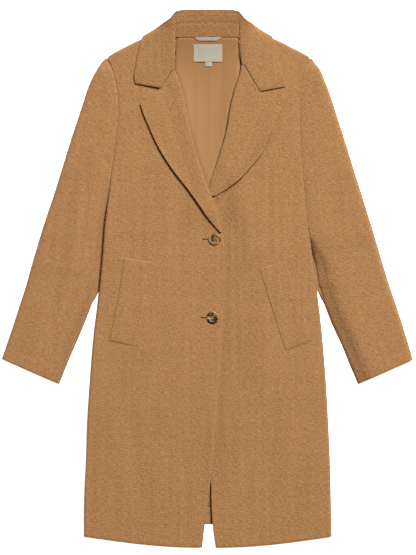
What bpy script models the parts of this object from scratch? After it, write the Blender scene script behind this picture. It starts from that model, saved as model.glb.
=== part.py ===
"""A single-breasted wool coat with notch lapels, lying flat on its back with its collar towards +Y.

Right and left are the wearer's, so the right front lies at -X.
All sizes are in metres, and the floor is Z = 0.
"""
import bmesh
import bpy
import numpy as np


def table(names, rows):
    """A table with named columns, each an array."""
    return dict(zip(names.split(), np.array(rows).T))


# Cloth and the room between its layers
CLOTH = 0.0022
LINING = 0.0010
SEAM_GAP = 0.0003
LAYER_GAP = 0.0004
FLOOR_SEAM_GAP = 0.0014

# Heights of the upper faces above the floor
BODY_TOP = 0.0140
SLEEVE_TOP = 0.0120
LINING_TOP = CLOTH + SEAM_GAP + LINING

# Rounded folds: how far each reaches in from the outline, and how far round it goes in degrees
SIDE_FOLD = 0.0060
SHOULDER_FOLD = 0.0130
SLEEVE_FOLD = 0.0050
ROLL_FOLD = 0.0040
ROLL_HALF_HEIGHT = 0.0032
FULL_WRAP = 180.0
ARMHOLE_WRAP = 40.0
ROLL_WRAP = 110.0

# Heights along the body
UNDERARM_LOW = 0.2276
UNDERARM_HIGH = 0.2576
SHOULDER_POINT = 0.4416
NECK_SEAM = 0.4820
HEM = -0.5144
LAPEL_BREAK = 0.0856
SHOULDER_CLOSES = (0.4300, 0.4516)
SHOULDER_ROUNDS = (0.4316, 0.4636)

# The collar lifts the back and its lining: the rise at the neck seam, where it starts, and its half widths
NECK_RISE = 0.0150
NECK_RISE_START = 0.3976
NECK_LIFTED = 0.0600
NECK_FLAT = 0.0720

# Hems
FRONT_HEM_DROP = 0.0220
FRONT_HEM_FADE = 0.1500
BACK_HEM_RISE = 0.0240
BACK_HEM_FADE = 0.2000
TURN_UP = 0.0340
LINING_HEM_GAP = 0.0012
LINING_EDGE_ROOM = 0.0040

# Where one front lies over the other
LAP_DIP = 0.0029
LAP_FADE = 0.0600
LAP_FLAT = 0.0120
LAP_LOW_END = (-0.5000, -0.4000)
LAP_HIGH_END = (0.2000, 0.2700)
CROSS_LIFT = 0.0032
CROSS_WIDTH = (-0.0700, -0.0080)
CROSS_LOW_END = (0.0950, 0.1450)
CROSS_HIGH_END = (0.2000, 0.2600)

# Lapels
ROLL_SET_BACK = 0.0042
ROLL_SET_BACK_FADE = 0.0300
ROLL_SPREAD = 0.0200
ROLL_FOLD_SHARE = 0.4
LAPEL_LIFT_START = (0.1900, 0.2600)
LAPEL_TIP = (0.2700, 0.3500)
LAPEL_TIP_SHARE = 0.25

# Steps of the grids
FOLD_STEPS = 5
FLAT_STEPS = 6
FLAT_CROWDING = 1.4
TURN_STEPS = 4
SECTION_STEPS = 16
SLEEVE_FLAT_STEPS = 4
SIDE_STEPS = 3
LINING_COLUMNS = 7
STAND_STEPS = 4
COLLAR_STEPS = {"up": 4, "over": 4, "down": 5}
WELT_STEPS = (7, 4)
TAPE_STEPS = (2, 2)

BUTTON_RADIUS = 0.0125
BUTTON_HEIGHT = 0.0040
BUTTON_STEPS = 24
# Half section of the button from the middle of its dish, over the rim and in under it
BUTTON_PROFILE = [
    # radius, share of the height
    (0.0000, 0.62),
    (0.0070, 0.62),
    (0.0082, 0.90),
    (0.0100, 1.00),
    (0.0118, 0.82),
    (BUTTON_RADIUS, 0.50),
    (0.0112, 0.15),
    (0.0090, 0.00),
    (0.0000, 0.00),
]
HOLE_RADIUS = 0.0011
HOLE_OFFSET = 0.0022
HOLE_STEPS = 8
ROD_LENGTH = 4 * BUTTON_HEIGHT
MERGE_DISTANCE = 0.00002

INWARD = {"right": 1.0, "left": -1.0}

BODY_SIDES = table("y right left", [
    (-0.5144, -0.2466, 0.2490),
    (-0.4424, -0.2462, 0.2474),
    (-0.3624, -0.2426, 0.2454),
    (-0.2824, -0.2400, 0.2418),
    (-0.2024, -0.2346, 0.2370),
    (-0.1224, -0.2282, 0.2306),
    (-0.0424, -0.2186, 0.2218),
    (0.0476, -0.2098, 0.2094),
    (0.1076, -0.2054, 0.2030),
    (0.1776, -0.1966, 0.1966),
    (0.2276, -0.1910, 0.1922),
    (0.2576, -0.1870, 0.1906),
    (0.3076, -0.1808, 0.1884),
    (0.3476, -0.1790, 0.1886),
    (0.3776, -0.1814, 0.1906),
    (0.4016, -0.1866, 0.1934),
    (0.4216, -0.1930, 0.1982),
    (0.4416, -0.2018, 0.2074),
])

SHOULDERS = table("y right left", [
    (0.4416, -0.2018, 0.2074),
    (0.4516, -0.1866, 0.1904),
    (0.4636, -0.1640, 0.1664),
    (0.4756, -0.1400, 0.1430),
    (0.4796, -0.1300, 0.1325),
    (0.4830, -0.1210, 0.1225),
])

# The front edge up to the lapel's break, then the roll line, then the neckline under the collar
FRONT_EDGES = table("y right left", [
    (-0.5364, -0.0106, 0.0174),
    (-0.4904, -0.0054, 0.0114),
    (-0.4044, 0.0058, 0.0074),
    (-0.2784, 0.0174, 0.0020),
    (-0.1164, 0.0278, -0.0046),
    (0.0256, 0.0354, -0.0066),
    (0.0856, 0.0306, -0.0066),
    (0.1516, 0.0134, -0.0026),
    (0.1836, 0.0014, 0.0028),
    (0.2356, -0.0166, 0.0196),
    (0.2836, -0.0302, 0.0344),
    (0.3576, -0.0454, 0.0482),
    (0.3836, -0.0518, 0.0552),
    (0.4016, -0.0578, 0.0614),
    (0.4156, -0.0640, 0.0650),
    (0.4376, -0.0660, 0.0664),
    (0.4576, -0.0640, 0.0646),
    (0.4830, -0.0640, 0.0646),
])

FRONT_HEIGHTS = (
    0.4830, 0.4756, 0.4636, 0.4516, 0.4416, 0.4336, 0.4216, 0.3976, 0.3666, 0.3336, 0.2836, 0.2376, 0.1996,
    0.1616, 0.1276, 0.0936, 0.0176, -0.0184, -0.0824, -0.1424, -0.2024, -0.2824, -0.3624, -0.4424, -0.5144,
)

BACK_FIRST_HEIGHT = -0.4424
LINING_HEIGHTS = (
    NECK_SEAM, 0.4636, 0.4416, NECK_RISE_START, 0.3336, 0.2576, 0.1616, 0.0176, -0.1224, -0.2824, -0.4024,
)

# The lapel's outer edge from the break up to its tip, then the straight top edge: tip, notch, roll line
LAPEL_EDGES = {
    "right": table("y x", [
        (0.0896, 0.0286), (0.1216, 0.0018), (0.1476, -0.0158), (0.1736, -0.0342), (0.2176, -0.0686),
        (0.2604, -0.0958), (0.3082, -0.1178), (0.3386, -0.1302), (0.3488, -0.1330),
    ]),
    "left": table("y x", [
        (0.1636, 0.0124), (0.1782, 0.0366), (0.1966, 0.0610), (0.2196, 0.0826), (0.2466, 0.1054),
        (0.2868, 0.1246), (0.3168, 0.1380), (0.3384, 0.1482),
    ]),
}
LAPEL_TOPS = {
    "right": table("y x", [(0.3488, -0.1330), (0.3800, -0.0922), (0.4136, -0.0674)]),
    "left": table("y x", [(0.3384, 0.1482), (0.3720, 0.1054), (0.4260, 0.0694)]),
}
LAPEL_HEIGHTS = {
    "right": (0.4070, 0.3940, 0.3800, 0.3640, 0.3488, 0.3386, 0.3082, 0.2604, 0.2176, 0.1736, 0.1476, 0.1216,
              0.1010),
    "left": (0.4070, 0.3900, 0.3720, 0.3550, 0.3384, 0.3168, 0.2868, 0.2466, 0.2196, 0.1966, 0.1782, 0.1660),
}
# How high the roll stands, at its top and at its low end, and how far the outer edge lifts off the front
LAPEL_ROLLS = {
    "right": {"high": 0.0056, "low": 0.0022, "edge_lift": 0.0060},
    "left": {"high": 0.0056, "low": 0.0002, "edge_lift": 0.0050},
}
LAPEL_RISE = (0.1700, 0.4000)

# Each sleeve row runs from its outer edge to its inner edge; beside the body the inner edge follows the body
SLEEVES = {
    "right": table("inner_y inner_x outer_x outer_y", [
        (-0.2104, -0.2956, -0.4106, -0.1594),
        (-0.1504, -0.2706, -0.3936, -0.1104),
        (-0.0904, -0.2456, -0.3766, -0.0584),
        (-0.0344, -0.2216, -0.3606, -0.0084),
        (0.0176, -0.2130, -0.3506, 0.0276),
        (0.0936, -0.2070, -0.3286, 0.1016),
        (0.1616, -0.1990, -0.3066, 0.1676),
        (0.2376, -0.1900, -0.2866, 0.2316),
        (0.2836, -0.1840, -0.2706, 0.2836),
        (0.3336, -0.1800, -0.2566, 0.3256),
        (0.3666, -0.1810, -0.2436, 0.3656),
        (0.3976, -0.1860, -0.2326, 0.3956),
        (0.4216, -0.1935, -0.2186, 0.4216),
        (0.4336, -0.1985, -0.2106, 0.4336),
    ]),
    "left": table("inner_y inner_x outer_x outer_y", [
        (-0.2104, 0.3004, 0.4110, -0.1612),
        (-0.1504, 0.2760, 0.3960, -0.1104),
        (-0.0904, 0.2494, 0.3794, -0.0584),
        (-0.0344, 0.2262, 0.3624, -0.0084),
        (0.0176, 0.2145, 0.3514, 0.0276),
        (0.0936, 0.2050, 0.3296, 0.1016),
        (0.1616, 0.1985, 0.3090, 0.1676),
        (0.2376, 0.1920, 0.2890, 0.2316),
        (0.2836, 0.1895, 0.2728, 0.2836),
        (0.3336, 0.1890, 0.2594, 0.3256),
        (0.3666, 0.1905, 0.2464, 0.3656),
        (0.3976, 0.1935, 0.2350, 0.3956),
        (0.4216, 0.1990, 0.2234, 0.4216),
        (0.4336, 0.2040, 0.2134, 0.4336),
    ]),
}
SLEEVE_HEIGHTS = (
    0.4336, 0.4216, 0.3976, 0.3666, 0.3336, 0.2836, 0.2376, 0.1996, 0.1616, 0.1276, 0.0936, 0.0176, -0.0184,
    -0.0344, -0.0904, -0.1504, -0.2104,
)
SLEEVE_LEAVES_BODY = -0.0184
# At the shoulder, where a section is narrow, its folds and its height are shares of its width
SLEEVE_FOLD_SHARE = 0.3
SLEEVE_HEIGHT_SHARE = 0.70
# The sleeve's front seam comes up onto the upper face between these heights, this far from the inner edge
SLEEVE_SEAM_HIDDEN = 0.0276
SLEEVE_SEAM_SHOWN = -0.0184
SLEEVE_SEAM_INSET = 0.0220
# Room that the two sleeve walls keep where the seam goes round the fold, and how the under sleeve is spaced
SLEEVE_BEND_ROOM = 0.0040
ROUND_SEAM_ROOM = 3.0
UNDER_BEND_SHARE = 0.05
UNDER_FLOOR_SHARE = 0.10
UNDER_FLAT_SHARE = 0.02

# Lines along the collar, each with a row (x, y, z) from the notch end to the centre back
COLLAR_LINES = {
    "seam": [
        (0.0660, 0.4120, 0.0175), (0.0648, 0.4376, 0.0210), (0.0640, 0.4656, 0.0240),
        (0.0636, 0.4936, 0.0262), (0.0632, 0.5096, 0.0276), (0.0618, 0.5200, 0.0286),
        (0.0550, 0.5250, 0.0292), (0.0000, 0.5260, 0.0292),
    ],
    "roll": [
        (0.0706, 0.4156, 0.0217), (0.0706, 0.4376, 0.0245), (0.0698, 0.4656, 0.0270),
        (0.0692, 0.4936, 0.0290), (0.0684, 0.5126, 0.0302), (0.0660, 0.5256, 0.0310),
        (0.0560, 0.5318, 0.0316), (0.0000, 0.5330, 0.0316),
    ],
    "break": [
        (0.0922, 0.3810, 0.0175), (0.1046, 0.4256, 0.0187), (0.1006, 0.4576, 0.0205),
        (0.0956, 0.4886, 0.0200), (0.0926, 0.5066, 0.0185), (0.0776, 0.5168, 0.0175),
        (0.0556, 0.5342, 0.0165), (0.0000, 0.5362, 0.0165),
    ],
    "edge": [
        (0.1432, 0.3900, 0.0169), (0.1458, 0.4076, 0.0170), (0.1394, 0.4416, 0.0173),
        (0.1316, 0.4776, 0.0173), (0.1240, 0.4876, 0.0100), (0.1006, 0.4910, 0.0000),
        (0.0586, 0.4880, 0.0000), (0.0000, 0.4880, 0.0000),
    ],
}
# The wearer's left end of the collar lies a little lower and further out; the next row moves part of the way
COLLAR_LEFT_END = {
    "seam": (0.0690, 0.4244, 0.0175),
    "roll": (0.0736, 0.4280, 0.0217),
    "break": (0.1050, 0.3746, 0.0175),
    "edge": (0.1562, 0.3840, 0.0169),
}
COLLAR_LEFT_SHARE = 0.4
COLLAR_BETWEEN = 2
# The stand's neck edge, from beside the notch end to the centre back
STAND_BASE = [
    (0.0646, 0.4376, 0.0140), (0.0642, 0.4630, 0.0165), (0.0634, 0.4780, 0.0182), (0.0606, 0.4830, 0.0190),
    (0.0540, 0.4828, 0.0192), (0.0386, 0.4826, 0.0192), (0.0000, 0.4826, 0.0192),
]
STAND_GAP = 0.0020

# Corners (x, y) of the slanted pocket welts in the order: outer top, inner top, outer bottom, inner bottom
WELTS = {
    "right": [(-0.1656, 0.0422), (-0.1080, 0.0328), (-0.1952, -0.1240), (-0.1402, -0.1352)],
    "left": [(0.1548, 0.0356), (0.1044, 0.0206), (0.2080, -0.1234), (0.1564, -0.1434)],
}

BUTTONS = {"button_upper": (0.0144, 0.0794), "button_lower": (0.0110, -0.0772)}

# Corners (x, y): top right, top left, bottom right, bottom left, as the wearer has them
TAPES = {
    "neck_label": [(-0.0274, 0.4666), (0.0296, 0.4666), (-0.0274, 0.4330), (0.0296, 0.4330)],
    "size_tab": [(-0.0042, 0.4327), (0.0094, 0.4327), (-0.0042, 0.4240), (0.0094, 0.4240)],
    "hanger_loop": [(-0.0260, 0.4814), (0.0292, 0.4814), (-0.0186, 0.4756), (0.0202, 0.4756)],
}

# Finishes: colour in linear light, roughness
FINISHES = {
    "wool": ((0.456, 0.235, 0.091, 1.0), 0.90),
    "satin": ((0.480, 0.260, 0.110, 1.0), 0.45),
    "woven_label": ((0.730, 0.640, 0.500, 1.0), 0.75),
    "tortoiseshell": ((0.110, 0.045, 0.015, 1.0), 0.25),
}


def ramp(value, start, end):
    """0 before start, 1 after end, smooth between."""
    share = np.clip((value - start) / (end - start), 0.0, 1.0)
    return share * share * (3 - 2 * share)


def curve(at, stations, values):
    """Smooth curve through values at rising stations, read at one or more places."""
    slopes = np.gradient(values, stations)
    at = np.clip(at, stations[0], stations[-1])
    index = np.clip(np.searchsorted(stations, at) - 1, 0, len(stations) - 2)
    step = stations[index + 1] - stations[index]
    share = (at - stations[index]) / step
    rest = 1 - share
    ends = values[index] * rest**2 * (1 + 2 * share) + values[index + 1] * share**2 * (3 - 2 * share)
    return ends + step * share * rest * (slopes[index] * rest - slopes[index + 1] * share)


def body_side(side, y):
    """X of the body's outline: side fold and armhole, or the shoulder above the shoulder point."""
    outline = BODY_SIDES if y <= SHOULDER_POINT else SHOULDERS
    return curve(y, outline["y"], outline[side])


def roll_line(side, y):
    return curve(y, FRONT_EDGES["y"], FRONT_EDGES[side])


def front_edge(side, y):
    """X of the front's cut edge, which lies back from the roll line above the lapel's break."""
    set_back = ROLL_SET_BACK * ramp(y, LAPEL_BREAK, LAPEL_BREAK + ROLL_SET_BACK_FADE)
    return roll_line(side, y) - INWARD[side] * set_back


def front_top(side, x, y):
    """Height of a front's upper face: the left dips under the right, the right lifts over the left lapel."""
    if side == "left":
        covered = ramp(roll_line("right", y) + LAP_FADE - x, 0.0, LAP_FADE - LAP_FLAT)
        return BODY_TOP - LAP_DIP * covered * ramp(y, *LAP_LOW_END) * (1 - ramp(y, *LAP_HIGH_END))
    near_edge = ramp(x, *CROSS_WIDTH)
    return BODY_TOP + CROSS_LIFT * near_edge * ramp(y, *CROSS_LOW_END) * (1 - ramp(y, *CROSS_HIGH_END))


def fold_path(wrap, fold, steps):
    """A rounded edge from its lower end up to the top: distance across, and share of the full height."""
    angles = np.radians(np.linspace(wrap, 0.0, steps))
    reach = np.sin(np.radians(min(wrap, 90.0)))
    return fold * (reach - np.sin(angles)), (1 + np.cos(angles)) / 2


def side_wrap(y):
    """How far round, in degrees, and how far in the front's outer edge is folded at this height."""
    closed = 1 - ramp(y, UNDERARM_LOW, UNDERARM_HIGH) + ramp(y, *SHOULDER_CLOSES)
    on_shoulder = ramp(y, *SHOULDER_ROUNDS)
    wrap = ARMHOLE_WRAP + (FULL_WRAP - ARMHOLE_WRAP) * closed
    return wrap, SIDE_FOLD + (SHOULDER_FOLD - SIDE_FOLD) * on_shoulder


def back_inset(y):
    """How far the back's edge lies in from the outline, to meet the front's folded edge or the sleeve."""
    wrap, fold = side_wrap(y)
    closed = (wrap - ARMHOLE_WRAP) / (FULL_WRAP - ARMHOLE_WRAP)
    return fold * closed + FLOOR_SEAM_GAP * (fold / SIDE_FOLD) ** 2


def neck_rise(x, y):
    """How far the collar lifts the middle of the back here, in a straight slope up to the neck seam."""
    upward = np.clip((y - NECK_RISE_START) / (NECK_SEAM - NECK_RISE_START), 0.0, 1.0)
    inward = np.clip((NECK_FLAT - np.abs(x)) / (NECK_FLAT - NECK_LIFTED), 0.0, 1.0)
    return NECK_RISE * upward * inward


def new_finish(name, kind):
    colour, roughness = FINISHES[kind]
    finish = bpy.data.materials.new(name + "_finish")
    finish.use_nodes = True
    shader = finish.node_tree.nodes["Principled BSDF"]
    shader.inputs["Base Color"].default_value = colour
    shader.inputs["Roughness"].default_value = roughness
    shader.inputs["Metallic"].default_value = 0.0
    finish.diffuse_color = colour
    return finish


def new_object(name, mesh, kind):
    piece = bpy.data.objects.new(name, mesh)
    bpy.context.scene.collection.objects.link(piece)
    mesh.materials.append(new_finish(name, kind))
    return piece


def sheet(name, rows, thickness, kind):
    """A cloth wall: a grid of points on its outer face, thickened inwards."""
    rows = np.array(rows)
    count, width = rows.shape[:2]
    mesh = bpy.data.meshes.new(name)
    corners = np.arange(count * width).reshape(count, width)
    faces = np.stack([corners[:-1, :-1], corners[1:, :-1], corners[1:, 1:], corners[:-1, 1:]], axis=-1)
    mesh.from_pydata(rows.reshape(-1, 3).tolist(), [], faces.reshape(-1, 4).tolist())
    mesh.shade_smooth()
    piece = new_object(name, mesh, kind)
    wall = piece.modifiers.new("Wall", "SOLIDIFY")
    wall.thickness = thickness
    wall.offset = -1.0
    wall.use_even_offset = True
    wall.use_quality_normals = True
    return piece


def facing(side, rows):
    """Rows that start at the wearer's right, so that the outer face of either side points out."""
    return rows if side == "right" else np.array(rows)[:, ::-1]


def make_front(side):
    rows = []
    for y in FRONT_HEIGHTS:
        drop = FRONT_HEM_DROP * (1 - ramp(y, HEM, HEM + FRONT_HEM_FADE))
        outline = body_side(side, y)
        width = INWARD[side] * (front_edge(side, y - drop) - outline)
        wrap, fold = side_wrap(y)
        fold_across, fold_share = fold_path(wrap, fold, FOLD_STEPS)
        to_edge = np.linspace(1.0, 0.0, FLAT_STEPS + 1)[1:] ** FLAT_CROWDING
        across = np.concatenate([fold_across, width - (width - fold_across[-1]) * to_edge])
        share = np.concatenate([fold_share, np.ones(FLAT_STEPS)])
        x = outline + INWARD[side] * across
        bent = y - drop * np.sin(np.pi / 2 * across / width)
        rows.append(np.column_stack([x, bent, share * front_top(side, x, bent)]))
    sheet("front_" + side, facing(side, rows), CLOTH, "wool")


def back_columns(y):
    """Columns across the back: even steps from each side to the lifted middle, and the middle's own."""
    inset = back_inset(y)
    middle = (-NECK_FLAT, -NECK_LIFTED, 0.0, NECK_LIFTED, NECK_FLAT)
    from_right = np.linspace(body_side("right", y) + inset, middle[0], SIDE_STEPS + 1)
    to_left = np.linspace(middle[-1], body_side("left", y) - inset, SIDE_STEPS + 1)
    return np.concatenate([from_right[:-1], middle, to_left[1:]])


def lining_columns(y):
    """Columns across the lining, which narrows to the lifted middle of the back at the neck."""
    inset = back_inset(0.0) + LINING_EDGE_ROOM + back_inset(y)
    sides = (body_side("right", y) + inset, body_side("left", y) - inset)
    if y >= NECK_RISE_START:
        sides = (-NECK_LIFTED, NECK_LIFTED)
    return np.linspace(*sides, LINING_COLUMNS)


def back_hem_rise(x, y):
    """How much higher the back lies at this place than at its side, most at the middle of the hem."""
    half = (BODY_SIDES["left"][0] - BODY_SIDES["right"][0]) / 2
    return BACK_HEM_RISE * np.cos(np.pi / 2 * x / half) * (1 - ramp(y, HEM, HEM + BACK_HEM_FADE))


def make_back():
    """The back on the floor, from the edge of its turned-up hem, round the hem fold and up to the neck."""
    turn_radius = CLOTH + SEAM_GAP / 2
    turn = np.radians(np.linspace(0.0, FULL_WRAP, TURN_STEPS + 1))
    hem_rows = [(TURN_UP, 2 * turn_radius)]
    hem_rows += list(zip(turn_radius * (1 - np.sin(turn)), turn_radius * (1 + np.cos(turn))))
    rows = []
    for up, z in hem_rows:
        x = back_columns(HEM)
        rows.append(np.column_stack([x, HEM + up + back_hem_rise(x, HEM), np.full(len(x), z)]))
    for y in [y for y in FRONT_HEIGHTS[::-1] if BACK_FIRST_HEIGHT <= y < NECK_SEAM] + [NECK_SEAM]:
        x = back_columns(y)
        rows.append(np.column_stack([x, y + back_hem_rise(x, y), neck_rise(x, y)]))
    sheet("back", rows, CLOTH, "wool")


def make_back_lining():
    """The lining on the back, from the neck seam down to the turned-up hem."""
    rows = []
    for y in LINING_HEIGHTS:
        x = lining_columns(y)
        rows.append(np.column_stack([x, y + back_hem_rise(x, y), LINING_TOP + neck_rise(x, y)]))
    x = lining_columns(HEM)
    low = HEM + TURN_UP + LINING_HEM_GAP + back_hem_rise(x, HEM)
    rows.append(np.column_stack([x, low, np.full(len(x), LINING_TOP)]))
    sheet("back_lining", rows, LINING, "satin")


def lapel_edge(side, y):
    below, above = LAPEL_EDGES[side], LAPEL_TOPS[side]
    if y <= below["y"][-1]:
        return curve(y, below["y"], below["x"])
    return np.interp(y, above["y"], above["x"])


def make_lapel(side):
    """The turned-back front, made from the front's points moved out, rounded over the roll line."""
    roll = LAPEL_ROLLS[side]
    rows = []
    for y in LAPEL_HEIGHTS[side]:
        start = roll_line(side, y)
        width = INWARD[side] * (start - lapel_edge(side, y))
        fold = min(ROLL_FOLD, ROLL_FOLD_SHARE * width)
        fold_across, fold_share = fold_path(ROLL_WRAP, fold, FOLD_STEPS)
        across = np.concatenate([fold_across, np.linspace(fold_across[-1], width, FLAT_STEPS)[1:]])
        x = start - INWARD[side] * across
        rise = ramp(y, *LAPEL_RISE)
        bulge = (roll["low"] + (roll["high"] - roll["low"]) * rise) * np.exp(-(across / ROLL_SPREAD) ** 2)
        lifted = ramp(y, *LAPEL_LIFT_START) * (1 - (1 - LAPEL_TIP_SHARE) * ramp(y, *LAPEL_TIP))
        lift = roll["edge_lift"] * lifted * (across / width) ** 2
        z = front_top(side, x, y) + LAYER_GAP + CLOTH + bulge + lift
        z[:FOLD_STEPS] = z[FOLD_STEPS - 1] - 2 * ROLL_HALF_HEIGHT * (1 - fold_share)
        rows.append(np.column_stack([x, np.full(len(x), y), z]))
    other = {"right": "left", "left": "right"}[side]
    sheet("lapel_" + side, facing(other, rows), CLOTH, "wool")


def sleeve_loop(outer, inner):
    """A sleeve's closed section, dense: points, distance round, and where the folds begin and end on top."""
    width = np.linalg.norm(inner - outer)
    fold = min(SLEEVE_FOLD, SLEEVE_FOLD_SHARE * width)
    fold_across, fold_share = fold_path(FULL_WRAP, fold, SECTION_STEPS)
    across = np.concatenate([fold_across, (width - fold_across)[::-1], fold_across[:1]])
    height = min(SLEEVE_TOP, SLEEVE_HEIGHT_SHARE * width)
    z = height * np.concatenate([fold_share, fold_share[::-1], fold_share[:1]])
    plan = outer + np.outer(across / width, inner - outer)
    points = np.column_stack([plan, z])
    around = np.concatenate([[0.0], np.cumsum(np.linalg.norm(np.diff(points, axis=0), axis=1))])
    return points, around, around[SECTION_STEPS - 1], around[SECTION_STEPS], around[2 * SECTION_STEPS - 1]


def along(points, around, places):
    return np.column_stack([np.interp(places, around, points[:, axis]) for axis in range(3)])


def make_sleeve(side):
    """The top sleeve over the arm and the under sleeve on the floor, parted at the front seam."""
    rows = SLEEVES[side]
    top_rows = []
    under_rows = []
    for y in SLEEVE_HEIGHTS:
        outer = np.array([curve(y, rows["inner_y"], rows[name]) for name in ("outer_x", "outer_y")])
        inner_x = curve(y, rows["inner_y"], rows["inner_x"])
        if y >= SLEEVE_LEAVES_BODY:
            inner_x = body_side(side, y) - INWARD[side] * 2 * SEAM_GAP
        points, around, top_start, top_end, floor_start = sleeve_loop(outer, np.array([inner_x, y]))
        shown = 1 - ramp(y, SLEEVE_SEAM_SHOWN, SLEEVE_SEAM_HIDDEN)
        seam = floor_start - shown * (floor_start - top_end + SLEEVE_SEAM_INSET - SLEEVE_FOLD)
        bend_start = min(seam, top_end) - SLEEVE_BEND_ROOM
        top_places = np.concatenate([
            np.linspace(0.0, top_start, FOLD_STEPS),
            np.linspace(top_start, bend_start, SLEEVE_FLAT_STEPS)[1:],
            np.linspace(bend_start, seam, FOLD_STEPS + 1)[1:],
        ])
        round_fold = ROUND_SEAM_ROOM * np.sin(np.pi * shown)
        seam_gap = 2 * SEAM_GAP * shown + FLOOR_SEAM_GAP * (1 - shown + round_fold)
        under_start = seam + seam_gap
        under_end = around[-1] - FLOOR_SEAM_GAP
        room = under_end - under_start
        under_bend = max(under_start + UNDER_BEND_SHARE * room, top_end)
        under_floor = max(under_bend + UNDER_FLOOR_SHARE * room, floor_start + UNDER_FLAT_SHARE * room)
        under_places = np.concatenate([
            np.linspace(under_start, under_bend, 3),
            np.linspace(under_bend, under_floor, FOLD_STEPS)[1:],
            np.linspace(under_floor, under_end, SLEEVE_FLAT_STEPS)[1:],
        ])
        top_rows.append(along(points, around, top_places))
        under_rows.append(along(points, around, under_places))
    sheet("sleeve_top_" + side, facing(side, top_rows), CLOTH, "wool")
    sheet("sleeve_under_" + side, facing(side, under_rows), CLOTH, "wool")


def both_sides(name):
    """A collar line from the wearer's right end, round the centre back, to the left end."""
    right = np.array(COLLAR_LINES[name])
    left = right.copy()
    shift = np.array(COLLAR_LEFT_END[name]) - right[0]
    left[0] += shift
    left[1] += COLLAR_LEFT_SHARE * shift
    return np.concatenate([right * (-1, 1, 1), left[-2::-1]])


def stations_along(rows):
    """Places on a collar line of both sides, counted in rows from its right end, with steps in between."""
    last = 2 * (len(rows) - 1)
    return np.linspace(0.0, last, last * COLLAR_BETWEEN + 1)


def between(line, places):
    stations = np.arange(len(line), dtype=float)
    return np.column_stack([curve(places, stations, line[:, axis]) for axis in range(3)])


def bend(start, control, end, steps):
    """A quadratic curve from start to end, as rows of points."""
    share = np.linspace(0.0, 1.0, steps)[:, None]
    return start * (1 - share) ** 2 + control * 2 * share * (1 - share) + end * share**2


def make_collar_fall():
    """The fall: from its seam with the stand, over the roll, out to its break and down to its edge."""
    places = stations_along(COLLAR_LINES["seam"])
    seam, roll, turn, edge = [between(both_sides(name), places) for name in COLLAR_LINES]
    rows = []
    for s, r, m, e in zip(seam, roll, turn, edge):
        up = bend(s, np.array([s[0], s[1], r[2]]), r, COLLAR_STEPS["up"])
        over = bend(r, np.array([m[0], m[1], r[2]]), m, COLLAR_STEPS["over"])
        down = bend(m, np.array([m[0], m[1], e[2]]), e, COLLAR_STEPS["down"])
        rows.append(np.concatenate([up, over[1:], down[1:]]))
    sheet("collar_fall", rows, CLOTH, "wool")


def make_collar_stand():
    """The stand: from the neck seam up to its seam with the fall."""
    right = np.array(STAND_BASE)
    base_line = np.concatenate([right * (-1, 1, 1), right[-2::-1]])
    places = stations_along(STAND_BASE)
    base = between(base_line, places)
    seam = between(both_sides("seam"), places + 1)
    height = np.linalg.norm(seam - base, axis=1)[:, None]
    top = seam - (seam - base) / height * STAND_GAP
    rows = [base + (top - base) * share for share in np.linspace(0.0, 1.0, STAND_STEPS)]
    sheet("collar_stand", np.stack(rows, axis=1), CLOTH, "wool")


def patch(corners, down_steps, across_steps):
    """Plan points of a four-cornered patch, in rows from its top to its bottom."""
    top_start, top_end, low_start, low_end = np.array(corners)
    down = np.linspace(0.0, 1.0, down_steps)[:, None, None]
    across = np.linspace(0.0, 1.0, across_steps)[None, :, None]
    return (top_start * (1 - across) + top_end * across) * (1 - down) + (
        low_start * (1 - across) + low_end * across) * down


def make_welt(side):
    plan = patch(WELTS[side], *WELT_STEPS)
    z = [[front_top(side, x, y) + SEAM_GAP + CLOTH for x, y in row] for row in plan]
    rows = np.concatenate([plan, np.array(z)[:, :, None]], axis=2)
    sheet("welt_" + side, facing(side, rows), CLOTH, "wool")


def make_tape(name):
    plan = patch(TAPES[name], *TAPE_STEPS)
    z = LINING_TOP + SEAM_GAP + LINING + neck_rise(plan[:, :, 0], plan[:, :, 1])
    sheet(name, np.concatenate([plan, z[:, :, None]], axis=2), LINING, "woven_label")


def turned_mesh(name, profile, steps):
    """A closed mesh spun round Z from a profile (radius, height) that starts and ends on the axis."""
    shape = bmesh.new()
    points = [shape.verts.new((radius, 0.0, z)) for radius, z in profile]
    lines = [shape.edges.new(pair) for pair in zip(points, points[1:])]
    bmesh.ops.spin(shape, geom=points + lines, axis=(0, 0, 1), cent=(0, 0, 0), steps=steps, angle=2 * np.pi)
    bmesh.ops.remove_doubles(shape, verts=shape.verts, dist=MERGE_DISTANCE)
    bmesh.ops.recalc_face_normals(shape, faces=shape.faces)
    mesh = bpy.data.meshes.new(name)
    shape.to_mesh(mesh)
    shape.free()
    return mesh


def make_hole_cutter(name):
    """Four round rods through the middle of a button, kept as a hidden guide."""
    shape = bmesh.new()
    for across in (-HOLE_OFFSET, HOLE_OFFSET):
        for up in (-HOLE_OFFSET, HOLE_OFFSET):
            rod = bmesh.ops.create_cone(shape, cap_ends=True, segments=HOLE_STEPS, radius1=HOLE_RADIUS,
                                        radius2=HOLE_RADIUS, depth=ROD_LENGTH)
            bmesh.ops.translate(shape, verts=rod["verts"], vec=(across, up, 0))
    mesh = bpy.data.meshes.new(name)
    shape.to_mesh(mesh)
    shape.free()
    cutter = bpy.data.objects.new(name, mesh)
    bpy.context.scene.collection.objects.link(cutter)
    cutter.hide_render = True
    cutter.display_type = "WIRE"
    return cutter


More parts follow.
